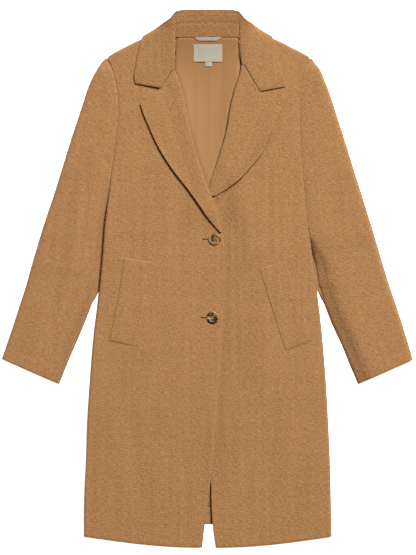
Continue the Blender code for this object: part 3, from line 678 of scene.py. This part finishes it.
def satin_finish():
    """Smooth lining with fine lengthwise threads."""
    finish = Finish("satin_lining", {"Specular IOR Level": 0.10})
    threads = finish.noise(0.0012, 0.0600)
    streaks = finish.noise(0.0100, 0.4000)
    tone = 0.5 + (threads - 0.5) * 0.35 + (streaks - 0.5) * 0.35
    finish.surface(
        Base_Color=finish.mix(tone, (0.168, 0.0850, 0.0338), (0.227, 0.1160, 0.0486)),
        Roughness=0.40 + threads * 0.15,
        Normal=finish.bump(threads, 0.0004, 0.25),
    )
    return finish.material


def tape_finish():
    """Woven ribbon of the label, tab and hanger loop."""
    finish = Finish("woven_tape", {"Specular IOR Level": 0.3})
    weft = finish.noise(0.0120, 0.0009)
    warp = finish.noise(0.0009, 0.0080)
    tone = 0.5 + (weft + warp - 1.0) * 0.6
    finish.surface(
        Base_Color=finish.mix(tone, (0.215, 0.195, 0.158), (0.265, 0.244, 0.203)),
        Roughness=0.65 + weft * 0.2,
        Normal=finish.bump(weft + warp, 0.0004, 0.35),
    )
    return finish.material


def tortoiseshell_finish():
    """Amber with dark smoky clouds, polished."""
    finish = Finish("tortoiseshell", {"Specular IOR Level": 0.12})
    place = finish.add("ShaderNodeTexCoord", {}, {}, "Object")
    clouds = finish.add("ShaderNodeTexNoise", {},
                        {"Vector": place, "Scale": 120.0, "Detail": 2.0, "Distortion": 0.6})
    colour = finish.add("ShaderNodeValToRGB", {"stops": [
        (0.38, (0.008, 0.009, 0.014)), (0.44, (0.035, 0.020, 0.012)), (0.50, (0.130, 0.066, 0.020)),
        (0.60, (0.210, 0.118, 0.034)),
    ]}, {"Fac": clouds})
    finish.surface(Base_Color=colour, Roughness=0.30 + clouds * 0.12)
    return finish.material


def thread_finish(name, dark, light):
    """Twisted sewing thread; with near-black colours it is also the painted shadow inside the buttonhole
    slit.
    """
    finish = Finish(name, {"Specular IOR Level": 0.25})
    place = finish.add("ShaderNodeTexCoord", {}, {}, "Object")
    twist = finish.add("ShaderNodeTexNoise", {}, {"Vector": place, "Scale": 1500.0, "Detail": 1.0})
    finish.surface(Base_Color=finish.mix(twist, dark, light), Roughness=0.7 + twist * 0.2,
                   Normal=finish.bump(twist, 0.0003, 0.4))
    return finish.material


WOOL = wool_finish()
SATIN = satin_finish()
WOVEN_TAPE = tape_finish()
TORTOISESHELL = tortoiseshell_finish()
TAN_THREAD = thread_finish("tan_thread", (0.170, 0.080, 0.028), (0.330, 0.170, 0.066))
# Painted shadow: a near-black finish for a ring laid in the buttonhole slit, where there is only shade.
SLIT_PAINTED_SHADOW = thread_finish("slit_shadow", (0.010, 0.005, 0.002), (0.035, 0.017, 0.007))


def settle(piece, slot, *nodes):
    """The piece rides on the coat and stands for its nodes, which are hidden; the slot is not used."""
    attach(piece, "root")
    if nodes:
        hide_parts(*nodes)


def border(count, width):
    """Row and column numbers once round a grid, with the steps that lead out of it."""
    walk = [(0, column, -1, 0) for column in range(1, width - 1)]
    walk = [(0, 0, -1, -1)] + walk + [(0, width - 1, -1, 1)]
    walk += [(row, width - 1, 0, 1) for row in range(1, count - 1)]
    walk += [(count - 1, width - 1, 1, 1)]
    walk += [(count - 1, column, 1, 0) for column in range(width - 2, 0, -1)]
    walk += [(count - 1, 0, 1, -1)]
    walk += [(row, 0, 0, -1) for row in range(count - 2, 0, -1)]
    return np.array(walk)


def unit(vectors):
    return vectors / np.maximum(np.linalg.norm(vectors, axis=-1, keepdims=True), 1e-9)


def shell(name, face, cloth_place, thickness, finish):
    """A closed sheet: its outer face, an inner face one thickness below, and a rounded rim between them."""
    face = np.array(face)
    cloth_place = np.array(cloth_place)
    count, width = face.shape[:2]
    down = unit(np.gradient(face, axis=0))
    over = unit(np.gradient(face, axis=1))
    normal = unit(np.cross(down, over))
    walk = border(count, width)
    edge = (walk[:, 0], walk[:, 1])
    out = unit(walk[:, 2:3] * down[edge] + walk[:, 3:4] * over[edge])
    middle = face[edge] - normal[edge] * thickness / 2
    rings = []
    for angle in np.linspace(0.0, math.pi, RIM_STEPS + 2)[1:-1]:
        reach = out * (RIM_REACH * thickness / 2 * math.sin(angle))
        rings.append(middle + reach + normal[edge] * (thickness / 2 * math.cos(angle)))
    size = count * width
    numbers = np.arange(size).reshape(count, width)
    quads = np.stack([numbers[:-1, :-1], numbers[1:, :-1], numbers[1:, 1:], numbers[:-1, 1:]], axis=-1)
    quads = quads.reshape(-1, 4)
    rim = 2 * size + np.arange(RIM_STEPS * len(walk)).reshape(RIM_STEPS, len(walk))
    loops = [numbers[edge], *rim, numbers[edge] + size]
    faces = [quads, quads[:, ::-1] + size]
    for upper, lower in zip(loops, loops[1:]):
        faces.append(np.stack([upper, np.roll(upper, -1), np.roll(lower, -1), lower], axis=-1))
    faces = np.concatenate(faces)
    points = np.concatenate([face.reshape(-1, 3), (face - normal * thickness).reshape(-1, 3)] + rings)
    places = np.concatenate([cloth_place.reshape(-1, 2)] * 2 + [cloth_place[edge]] * RIM_STEPS)
    mesh = bpy.data.meshes.new(name)
    mesh.from_pydata(points.tolist(), [], faces.tolist())
    layer = mesh.uv_layers.new(name="cloth")
    layer.data.foreach_set("uv", places[faces.reshape(-1)].astype(np.float32).reshape(-1))
    mesh.shade_smooth()
    mesh.materials.append(finish)
    piece = bpy.data.objects.new(name, mesh)
    bpy.context.scene.collection.objects.link(piece)
    return piece


def lay_cloth(name, face, cloth_place, thickness, finish, slot):
    """A shell that stands for its node, which is hidden."""
    piece = shell(name, face, cloth_place, thickness, finish)
    settle(piece, slot, name.removeprefix("coat_"))


def lay_wool(name, face, cloth_place, thickness=CLOTH):
    """A shell of the coat's own cloth."""
    lay_cloth(name, face, cloth_place, thickness, WOOL, "coat_cloth")


def facing(side, rows):
    """Rows that start at the wearer's right, so that the outer face of either side points out."""
    rows = np.array(rows)
    return rows if side == "right" else rows[:, ::-1]


def plan_place(face):
    """Cloth coordinates straight from the plan, for pieces that lie with their grain along the coat."""
    return np.array(face)[:, :, :2]


def run_length(points):
    """Distance along a row of points from its start."""
    return np.concatenate([[0.0], np.cumsum(np.linalg.norm(np.diff(points, axis=0), axis=1))])


def make_front(side):
    """A front, from its fold at the side or shoulder to its cut edge, bowed down at the hem."""
    rows = []
    places = []
    for y in np.linspace(SHOULDER_TOP, HEM, FRONT_STEPS["rows"]):
        drop = FRONT_HEM_DROP * (1 - ramp(y, HEM, HEM + FRONT_HEM_FADE))
        outline = body_side(side, y)
        width = INWARD[side] * (front_edge(side, y - drop) - outline)
        wrap, fold = side_wrap(y)
        fold_across, fold_share = fold_path(wrap, fold, FRONT_STEPS["fold"])
        flat = np.linspace(fold_across[-1], width, FRONT_STEPS["flat"] + 1)[1:]
        across = np.concatenate([fold_across, flat])
        share = np.concatenate([fold_share, np.ones(len(flat))])
        x = outline + INWARD[side] * across
        bent = y - drop * np.sin(np.pi / 2 * across / width)
        points = np.column_stack([x, bent, share * front_face(side, x, bent)])
        rows.append(points)
        places.append(np.column_stack([outline + INWARD[side] * run_length(points), bent]))
    lay_wool("coat_front_" + side, facing(side, rows), facing(side, places))


def back_inset(y):
    """How far the back's edge lies in from the outline, to meet the front's folded edge or the sleeve."""
    wrap, fold = side_wrap(y)
    closed = np.clip((wrap - ARMHOLE_WRAP) / (FULL_WRAP - ARMHOLE_WRAP), 0.0, 1.0)
    return fold * closed + FLOOR_SEAM_GAP * (fold / SIDE_FOLD) ** 2


def across_back(y, inset, steps):
    return np.linspace(body_side("right", y) + inset, body_side("left", y) - inset, steps)


def back_hem_rise(x, y):
    """How much higher the back lies at this place than at its side, most at the middle of the hem."""
    half = (BODY_SIDES["left"][0] - BODY_SIDES["right"][0]) / 2
    return BACK_HEM_RISE * np.cos(np.pi / 2 * x / half) * (1 - ramp(y, HEM, HEM + BACK_HEM_FADE))


def neck_rise(x, y):
    """How far the collar lifts the middle of the back here, more steeply towards the neck seam."""
    upward = np.clip((y - NECK_RISE_START) / (NECK_SEAM - NECK_RISE_START), 0.0, 1.0)
    return NECK_RISE * upward**NECK_STEEPNESS * ramp(-np.abs(x), -NECK_FLAT, -NECK_LIFTED)


def make_back():
    """The back on the floor, from the edge of its turned-up hem, round the hem fold and up to the neck."""
    columns = BACK_STEPS["columns"]
    turn_radius = CLOTH + SEAM_GAP / 2
    turn = np.radians(np.linspace(0.0, FULL_WRAP, BACK_STEPS["turn"]))
    turned_up = np.linspace(TURN_UP, turn_radius, BACK_STEPS["turn_up"])[:-1]
    hem_rows = [(up, 2 * turn_radius) for up in turned_up]
    hem_rows += list(zip(turn_radius * (1 - np.sin(turn)), turn_radius * (1 + np.cos(turn))))
    rows = []
    for up, z in hem_rows:
        x = across_back(HEM, back_inset(HEM), columns)
        rows.append(np.column_stack([x, HEM + up + back_hem_rise(x, HEM), np.full(columns, z)]))
    for y in np.linspace(HEM + BACK_FIRST_ROW, NECK_SEAM, BACK_STEPS["rows"]):
        x = across_back(y, back_inset(y), columns)
        rows.append(np.column_stack([x, y + back_hem_rise(x, y), relief("back", x, y) + neck_rise(x, y)]))
    lay_wool("coat_back", rows, plan_place(rows))


def lining_face(x, y):
    """Height of the lining, which slopes down from the neck seam and from both roll lines."""
    z = LINING_TOP + neck_rise(x, y) + relief("lining", x, y)
    for side, lift in LINING_SIDE_LIFTS.items():
        inside = INWARD[side] * (x - roll_line(side, y))
        shown = ramp(y, *LINING_SIDE_LOW_END) * (1 - ramp(-inside, 0.0, LINING_UNDER_ROLL))
        slope = np.clip(1 - inside / LINING_SIDE_REACH, 0.0, 1.0) ** 2
        z = z + lift * shown * slope * (1 - ramp(y, *LINING_SIDE_HIGH_END))
    return z


def make_back_lining():
    """The lining on the back, from the neck seam down to the turned-up hem."""
    columns = LINING_STEPS["columns"]
    rows = []
    for y in np.linspace(NECK_SEAM, HEM + TURN_UP + LINING_LAST_ROW, LINING_STEPS["rows"]):
        x = across_back(y, back_inset(0.0) + LINING_EDGE_ROOM + back_inset(y), columns)
        rows.append(np.column_stack([x, y + back_hem_rise(x, y), lining_face(x, y)]))
    x = across_back(HEM, back_inset(HEM) + SIDE_FOLD + LINING_EDGE_ROOM, columns)
    low = HEM + TURN_UP + LINING_HEM_GAP + back_hem_rise(x, HEM)
    rows.append(np.column_stack([x, low, np.full(columns, LINING_TOP)]))
    lay_cloth("coat_back_lining", rows, plan_place(rows), LINING, SATIN, "lining")


def lapel_plan(side, fold):
    """Plan points between the lapel's top edge, outer edge, low end and roll, in rows from the top."""
    edge = LAPEL_EDGES[side]
    tops = LAPEL_TOPS[side]
    tip, notch, roll = np.column_stack([tops["x"], tops["y"]])
    low = LAPEL_LOW_ENDS[side]
    down = np.linspace(0.0, 1.0, LAPEL_STEPS["rows"])[:, None]
    gorge = np.linalg.norm(notch - roll)
    whole = gorge + np.linalg.norm(tip - notch)
    corner = gorge / whole
    over = np.concatenate([
        np.linspace(0.0, corner, LAPEL_STEPS["gorge"]),
        np.linspace(corner, 1.0, LAPEL_STEPS["top"])[1:],
    ])
    top = np.column_stack([np.interp(over, (0.0, corner, 1.0), (roll[axis], notch[axis], tip[axis]))
                           for axis in range(2)])
    roll_y = roll[1] + (low - roll[1]) * down
    edge_y = tip[1] + (low - tip[1]) * down
    inner = np.column_stack([roll_line(side, roll_y) - INWARD[side] * fold, roll_y])
    outer = np.column_stack([curve(edge_y, edge["y"], edge["x"]), edge_y])
    inner += (1 - down) * (top[0] - inner[0])
    over = over[None, :, None]
    down = down[:, :, None]
    low_end = inner[-1] * (1 - over) + outer[-1] * over
    sides = inner[:, None] * (1 - over) + outer[:, None] * over
    ends = top[None] * (1 - down) + low_end * down
    corners = (top[0] * (1 - over) + top[-1] * over) * (1 - down) + low_end * down
    return sides + ends - corners


def make_lapel(side):
    """The turned-back front, laid on the front's own surface and rounded over the roll line."""
    roll = LAPEL_ROLLS[side]
    low = LAPEL_LOW_ENDS[side]
    plan = lapel_plan(side, ROLL_FOLD)
    x, y = plan[:, :, 0], plan[:, :, 1]
    from_roll = np.linalg.norm(plan - plan[:, :1], axis=2)
    out = from_roll / from_roll[:, -1:]
    crest = roll["low"] + (roll["high"] - roll["low"]) * ramp(y, *LAPEL_RISE)
    bulge = crest * np.exp(-(from_roll / ROLL_SPREAD) ** 2)
    lifted = ramp(y - low, *LAPEL_LIFT_START) * (1 - LAPEL_TIP_LOSS * ramp(y, *LAPEL_TIP))
    base = front_top(side, x, y) + LAPEL_FOLLOWS * relief("front_" + side, x, y)
    z = base + LAYER_GAP + CLOTH + bulge + roll["edge_lift"] * lifted * out**2
    z += relief("lapel_" + side, x, y)
    fold_across, fold_share = fold_path(ROLL_WRAP, ROLL_FOLD, LAPEL_STEPS["fold"])
    fold_x = x[:, :1] + INWARD[side] * (ROLL_FOLD - fold_across[None, :-1])
    fold_y = np.repeat(y[:, :1], len(fold_across) - 1, axis=1)
    fold_z = z[:, :1] - 2 * ROLL_HALF_HEIGHT * (1 - fold_share[None, :-1])
    x, y, z = (np.concatenate(pair, axis=1) for pair in ((fold_x, x), (fold_y, y), (fold_z, z)))
    along_grain, off_grain = math.cos(roll["grain"]), math.sin(roll["grain"])
    places = np.stack([x * along_grain + y * off_grain, y * along_grain - x * off_grain], axis=-1)
    rows = np.stack([x, y, z], axis=-1)
    other = OTHER[side]
    lay_wool("coat_lapel_" + side, facing(other, rows), facing(other, places))


def sleeve_section(side, y):
    """A sleeve's closed section: points over the top, down the inner side and back along the floor.

    Also the distance round to each point, and to the place of the front seam.
    """
    rows = SLEEVES[side]
    outer = np.array([curve(y, rows["inner_y"], rows[name]) for name in ("outer_x", "outer_y")])
    inner_x = curve(y, rows["inner_y"], rows["inner_x"])
    if y >= SLEEVE_LEAVES_BODY:
        inner_x = body_side(side, y) - INWARD[side] * 2 * SEAM_GAP
    opened = 1 - ramp(y, *SLIT_OPENS[side])
    inner_x += INWARD[side] * SEAM_OVERLAPS[side] * (1 - opened)
    slit = SLIT_WIDTHS[side] * opened**2 * ramp(y, SLIT_FADE, SLEEVE_LEAVES_BODY)
    inner = np.array([inner_x - INWARD[side] * slit, y])
    width = np.linalg.norm(inner - outer)
    fold = min(SLEEVE_FOLD, SLEEVE_FOLD_SHARE * width)
    fold_across, fold_share = fold_path(FULL_WRAP, fold, SLEEVE_STEPS["fold"])
    inner_side = np.array(ARMHOLE_ROUND) * (1 - opened) + np.array(INNER_SLOPES[side]) * opened
    inner_side[:, 0] *= min(1.0, width / INNER_FULL_WIDTH)
    steps = np.arange(len(inner_side), dtype=float)
    fine = np.linspace(0.0, steps[-1], SLEEVE_STEPS["inner"])
    past = curve(fine, steps, inner_side[:, 0])
    beside_body = np.interp(y, (WEDGE_TIP, SLEEVE_LEAVES_BODY), (0.0, 1.0))
    past += (slit + SLIT_FLOOR_REACH) * ramp(fine, *INNER_TURNS_UNDER) * beside_body
    share = curve(fine, steps, inner_side[:, 1])
    flat = np.linspace(fold_across[-1], width + past[0], SLEEVE_STEPS["flat"])[1:-1]
    across = np.concatenate([fold_across, flat, width + past, fold_across[:1]])
    crown = 1 + SLEEVE_CROWN * np.sin(np.pi * np.clip(across / width, 0.0, 1.0))
    height = np.concatenate([fold_share, np.ones(len(flat)), share, [0.0]])
    plan = outer + np.outer(across / width, inner - outer)
    narrow = min(1.0, NARROW_LEAST + width / NARROW_WIDTH)
    z = SLEEVE_TOP * narrow * height * crown
    z += relief("sleeve_" + side, plan[:, 0], plan[:, 1]) * ramp(height, *CREASE_ON_TOP)
    hidden_at, shown_at = SLEEVE_SEAMS[side]
    shown = 1 - ramp(y, shown_at, hidden_at)
    from_seam = across - (width - SLEEVE_SEAM_INSET)
    z += SEAM_RIDGE * shown * np.exp(-((from_seam / SEAM_RIDGE_WIDTH) ** 2)) * ramp(height, *LINE_ON_TOP)
    from_cuff = (y - rows["inner_y"][0]) - CUFF_HEM
    z -= CUFF_LINE_DEPTH * np.exp(-((from_cuff / CUFF_LINE_WIDTH) ** 2)) * ramp(height, *LINE_ON_TOP)
    points = np.column_stack([plan, z])
    around = run_length(points)
    on_top = SLEEVE_STEPS["on_top"]
    seam_top = np.interp(width - SLEEVE_SEAM_INSET, across[:on_top], around[:on_top])
    floor_start = around[-2]
    return points, around, floor_start - shown * (floor_start - seam_top)


def along(points, around, places):
    return np.column_stack([np.interp(places, around, points[:, axis]) for axis in range(3)])


def make_sleeve(side):
    """The top sleeve over the arm and the under sleeve on the floor, parted at the front seam."""
    rows = {"top": [], "under": []}
    places = {"top": [], "under": []}
    inner_y = SLEEVES[side]["inner_y"]
    for y in np.linspace(inner_y[-1], inner_y[0], SLEEVE_STEPS["rows"]):
        points, around, seam = sleeve_section(side, y)
        ends = {"top": (0.0, seam), "under": (seam + SEAM_GAP, around[-1] - SEAM_GAP)}
        for name, (start, end) in ends.items():
            span = np.linspace(start, end, SLEEVE_STEPS["across"])
            section = along(points, around, span)
            rows[name].append(section)
            middle = section[len(section) // 2]
            grain = np.full(len(span), middle[1] * SLEEVE_GRAIN_STRETCH)
            places[name].append(np.column_stack([span - seam, grain]))
    for name in rows:
        lay_wool(f"coat_sleeve_{name}_{side}", facing(side, rows[name]), facing(side, places[name]))


def both_sides(name):
    """A collar line from the wearer's right end, round the centre back, to the left end."""
    right = np.array(COLLAR_LINES[name])
    left = right.copy()
    shift = np.array(COLLAR_LEFT_END[name]) - right[0]
    left[0] += shift
    left[1] += COLLAR_LEFT_SHARE * shift
    if name in ("seam", "roll"):
        left[:, 2] -= COLLAR_LEFT_DROPS
    return np.concatenate([right * (-1, 1, 1), left[-2::-1]])


def stations_along(rows):
    """Places on a collar line of both sides, counted in rows from its right end, with steps in between."""
    last = 2 * (len(rows) - 1)
    return np.linspace(0.0, last, last * COLLAR_STEPS["between"] + 1)


def between(line, places):
    stations = np.arange(len(line), dtype=float)
    return np.column_stack([curve(places, stations, line[:, axis]) for axis in range(3)])


def bend(start, control, end, steps):
    """A quadratic curve from start to end, as rows of points."""
    share = np.linspace(0.0, 1.0, steps)[:, None]
    return start * (1 - share) ** 2 + control * 2 * share * (1 - share) + end * share**2


def strip_place(rows):
    """Cloth coordinates along and across a strip."""
    rows = np.array(rows)
    along_strip = run_length(rows[:, rows.shape[1] // 2])
    across_strip = np.array([run_length(row) for row in rows])
    return np.stack([across_strip, np.repeat(along_strip[:, None], rows.shape[1], axis=1)], axis=-1)


def leaf(roll, turn, edge, steps):
    """The part of the fall on the shoulder: straight in plan on each side of its break, sloping evenly."""
    reach = np.linalg.norm(turn[:2] - roll[:2])
    whole = reach + np.linalg.norm(edge[:2] - turn[:2])
    away = np.linspace(0.0, whole, steps)
    plan = [np.interp(away, (0.0, reach, whole), (roll[axis], turn[axis], edge[axis])) for axis in range(2)]
    z = roll[2] + (edge[2] - roll[2]) * away / whole
    return np.column_stack([*plan, z])


def make_collar_fall():
    """The fall: from its seam with the stand, over the roll and out to its edge."""
    places = stations_along(COLLAR_LINES["seam"])
    centre = places[-1] / 2
    seam, roll, turn, edge = [between(both_sides(name), places) for name in COLLAR_LINES]
    rows = []
    for place, start, crest, middle, end in zip(places, seam, roll, turn, edge):
        behind = ramp(centre - abs(place - centre), *BACK_TURN)
        control = np.array([*start[:2], crest[2]]) * (1 - behind) + (start + crest) / 2 * behind
        up = bend(start, control, crest, COLLAR_STEPS["up"])
        over = bend(crest, np.array([*middle[:2], crest[2]]), middle, COLLAR_STEPS["over"])
        down = bend(middle, np.array([*middle[:2], end[2]]), end, COLLAR_STEPS["down"])
        folded = np.concatenate([over, down[1:]])
        outer = folded * behind + leaf(crest, middle, end, len(folded)) * (1 - behind)
        rows.append(np.concatenate([up, outer[1:]]))
    lay_wool("coat_collar_fall", rows, strip_place(rows))


def make_collar_stand():
    """The stand: from the neck seam up to its seam with the fall, with one sewn line along it."""
    right = np.array(STAND_BASE)
    base_line = np.concatenate([right * (-1, 1, 1), right[-2::-1]])
    places = stations_along(STAND_BASE)
    base = between(base_line, places)
    seam = between(both_sides("seam"), places + 1)
    height = np.linalg.norm(seam - base, axis=1)[:, None]
    top = seam - (seam - base) / height * STAND_GAP
    rows = []
    for share in np.linspace(0.0, 1.0, STAND_STEPS):
        row = base + (top - base) * share
        row[:, 2] -= STAND_LINE_DEPTH * math.exp(-(((share - STAND_LINE) / STAND_LINE_WIDTH) ** 2))
        rows.append(row)
    rows = np.stack(rows, axis=1)
    lay_wool("coat_collar_stand", rows, strip_place(rows))


def patch(corners, down_steps, across_steps):
    """Plan points of a four-cornered patch, in rows from its top to its bottom."""
    top_start, top_end, low_start, low_end = np.array(corners)
    down = np.linspace(0.0, 1.0, down_steps)[:, None, None]
    across = np.linspace(0.0, 1.0, across_steps)[None, :, None]
    return (top_start * (1 - across) + top_end * across) * (1 - down) + (
        low_start * (1 - across) + low_end * across) * down


def make_welt(side):
    """A pocket welt on the front's surface, highest along its open outer edge and low at both ends."""
    rows_down, steps = WELT_STEPS
    plan = patch(WELTS[side], rows_down, steps)
    outer = np.linspace(1.0, 0.0, steps)[None, :]
    down = np.linspace(-1.0, 1.0, rows_down)[:, None]
    plan[:, :, 0] += INWARD[side] * WELT_BOWS[side] * outer * np.cos(math.pi / 2 * down)
    outer_height, inner_height = WELT_HEIGHTS[side]
    height = inner_height + (outer_height - inner_height) * outer
    height = height * (1 - (1 - WELT_END_SHARE) * down**WELT_END_POWER)
    z = front_face(side, plan[:, :, 0], plan[:, :, 1]) + height
    rows = facing(side, np.concatenate([plan, z[:, :, None]], axis=2))
    lay_wool("coat_welt_" + side, rows, plan_place(rows), WELT_CLOTH)


def make_tape(name):
    """A flat ribbon on the lining, slightly bowed."""
    plan = patch(TAPES[name], *TAPE_STEPS)
    x, y = plan[:, :, 0], plan[:, :, 1]
    bow = TAPE_BOW * np.sin(np.linspace(0.0, math.pi, TAPE_STEPS[1]))[None, :]
    z = lining_face(x, y) + SEAM_GAP + TAPE + bow
    rows = np.concatenate([plan, z[:, :, None]], axis=2)
    lay_cloth("coat_" + name, rows, plan_place(rows), TAPE, WOVEN_TAPE, "label")


def select_only(piece):
    bpy.ops.object.select_all(action="DESELECT")
    piece.select_set(True)
    bpy.context.view_layer.objects.active = piece


def finish_hard(piece, name, place, finish):
    """Names a modelled piece, moves it to its place and leaves its origin at zero."""
    select_only(piece)
    piece.name = name
    piece.location = place
    bpy.ops.object.transform_apply(location=True, rotation=True, scale=True)
    piece.data.materials.clear()
    piece.data.materials.append(finish)


def make_button(name):
    """A dished four-hole button: rings extruded from a disc, then the holes cut."""
    x, y = BUTTONS[name]
    bpy.ops.object.select_all(action="DESELECT")
    bpy.ops.mesh.primitive_circle_add(vertices=BUTTON_SIDES, radius=BUTTON_BASE, fill_type="NGON",
                                      location=(0, 0, 0))
    button = bpy.context.object
    bpy.ops.object.mode_set(mode="EDIT")
    bpy.ops.mesh.select_all(action="SELECT")
    radius, z = BUTTON_BASE, 0.0
    for next_radius, next_z in BUTTON_RINGS:
        bpy.ops.mesh.extrude_region_move(TRANSFORM_OT_translate={"value": (0, 0, next_z - z)})
        scale = next_radius / radius
        bpy.ops.transform.resize(value=(scale, scale, 1.0), center_override=(0, 0, next_z))
        radius, z = next_radius, next_z
    bpy.ops.mesh.select_all(action="SELECT")
    bpy.ops.mesh.normals_make_consistent(inside=False)
    bpy.ops.object.mode_set(mode="OBJECT")
    for across in (-HOLE_OFFSET, HOLE_OFFSET):
        for up in (-HOLE_OFFSET, HOLE_OFFSET):
            bpy.ops.mesh.primitive_cylinder_add(vertices=HOLE_SIDES, radius=HOLE_RADIUS, depth=ROD_LENGTH,
                                                location=(across, up, 0))
            rod = bpy.context.object
            cut = button.modifiers.new("Hole", "BOOLEAN")
            cut.operation = "DIFFERENCE"
            cut.object = rod
            select_only(button)
            bpy.ops.object.modifier_apply(modifier=cut.name)
            bpy.data.objects.remove(rod, do_unlink=True)
    select_only(button)
    bpy.ops.object.shade_smooth_by_angle(angle=BUTTON_SHARP_ANGLE)
    seat = float(front_face("right", x, y)) + 2 * SEAM_GAP
    finish_hard(button, "coat_button_" + name, (x, y, seat), TORTOISESHELL)
    settle(button, "button", "button_" + name)
    make_thread(name, (x, y, seat + THREAD_HEIGHT))


def make_thread(name, place):
    """Two thick strands of thread through the four holes."""
    strands = []
    for up in (-HOLE_OFFSET, HOLE_OFFSET):
        bpy.ops.object.select_all(action="DESELECT")
        bpy.ops.mesh.primitive_torus_add(
            major_radius=HOLE_OFFSET, minor_radius=THREAD_RADIUS, major_segments=STRAND_STEPS[0],
            minor_segments=STRAND_STEPS[1], location=(0, up, 0), rotation=(math.pi / 2, 0, 0))
        strand = bpy.context.object
        bpy.ops.object.transform_apply(location=True, rotation=True, scale=True)
        bpy.ops.object.mode_set(mode="EDIT")
        bpy.ops.mesh.select_all(action="SELECT")
        bpy.ops.transform.resize(value=(1.0, 1.0, THREAD_FLATNESS), center_override=(0, up, 0))
        bpy.ops.object.mode_set(mode="OBJECT")
        strands.append(strand)
    for strand in strands:
        strand.select_set(True)
    bpy.context.view_layer.objects.active = strands[0]
    bpy.ops.object.join()
    thread = bpy.context.object
    bpy.ops.object.shade_smooth()
    finish_hard(thread, "coat_button_thread_" + name, place, TAN_THREAD)
    settle(thread, "button")


def make_buttonhole(name):
    """A worked buttonhole: a ring of thread stretched to a slot, with a near-black ring inside as painted
    shadow for the slit.
    """
    x, y = BUTTONS[name]
    length = BUTTONHOLE_LEFT - BUTTONHOLE_RIGHT
    seat = float(front_face("right", x - BUTTONHOLE_LEFT, y))
    # The slit ring is painted shadow, not thread.
    finishes = {"edge": TAN_THREAD, "slit": SLIT_PAINTED_SHADOW}
    for kind, ring in BUTTONHOLE_RINGS.items():
        bpy.ops.object.select_all(action="DESELECT")
        bpy.ops.mesh.primitive_torus_add(
            major_radius=ring["half"], minor_radius=ring["tube"], major_segments=SLOT_STEPS[0],
            minor_segments=SLOT_STEPS[1], location=(0, 0, 0))
        slot = bpy.context.object
        bpy.ops.object.mode_set(mode="EDIT")
        bpy.ops.mesh.select_all(action="DESELECT")
        bpy.ops.object.mode_set(mode="OBJECT")
        for point in slot.data.vertices:
            point.select = point.co.x > PAST_MIDDLE
        bpy.ops.object.mode_set(mode="EDIT")
        bpy.ops.transform.translate(value=(length, 0, 0))
        bpy.ops.object.mode_set(mode="OBJECT")
        bpy.ops.object.shade_smooth()
        finish_hard(slot, f"coat_buttonhole_{kind}_{name}", (x - BUTTONHOLE_LEFT, y, seat), finishes[kind])
        settle(slot, "coat_cloth")


def make_floor():
    """A wide sheet of white paper."""
    bpy.ops.object.select_all(action="DESELECT")
    bpy.ops.mesh.primitive_plane_add(size=FLOOR_SIZE, location=(0, 0, -FLOOR_DROP))
    floor = bpy.context.object
    floor.name = "floor"
    paper = Finish("white_paper", {"Base Color": FLOOR_COLOUR, "Roughness": FLOOR_ROUGHNESS,
                                   "Emission Color": FLOOR_GLOW_COLOUR, "Emission Strength": FLOOR_GLOW})
    floor.data.materials.append(paper.material)


def make_light():
    """One square soft light turned to face the coat, and a warm glow all round."""
    light = bpy.data.lights.new("key", "AREA")
    light.size = LIGHT_SIZE
    light.energy = LIGHT_POWER
    lamp = bpy.data.objects.new("key", light)
    bpy.context.scene.collection.objects.link(lamp)
    lamp.location = LIGHT_PLACE
    direction = Vector(LIGHT_AIM) - lamp.location
    lamp.rotation_euler = direction.to_track_quat("-Z", "Y").to_euler()
    world = bpy.data.worlds.new("studio")
    bpy.context.scene.world = world
    world.use_nodes = True
    background = world.node_tree.nodes["Background"]
    background.inputs["Color"].default_value = WORLD_COLOUR
    background.inputs["Strength"].default_value = WORLD_STRENGTH


def make_camera():
    """A camera that looks straight down."""
    lens = bpy.data.cameras.new("camera")
    lens.sensor_width = SENSOR
    lens.lens = SENSOR * CAMERA_PLACE[2] / FRAME_HEIGHT
    camera = bpy.data.objects.new("camera", lens)
    camera.location = CAMERA_PLACE
    bpy.context.scene.collection.objects.link(camera)
    bpy.context.scene.camera = camera
    bpy.context.scene.view_settings.view_transform = "Standard"


make_light()
make_camera()
make_floor()
make_back()
make_back_lining()
for side in ("right", "left"):
    make_front(side)
    make_lapel(side)
    make_sleeve(side)
    make_welt(side)
make_collar_fall()
make_collar_stand()
for name in TAPES:
    make_tape(name)
for name in BUTTONS:
    make_button(name)
    make_buttonhole(name)
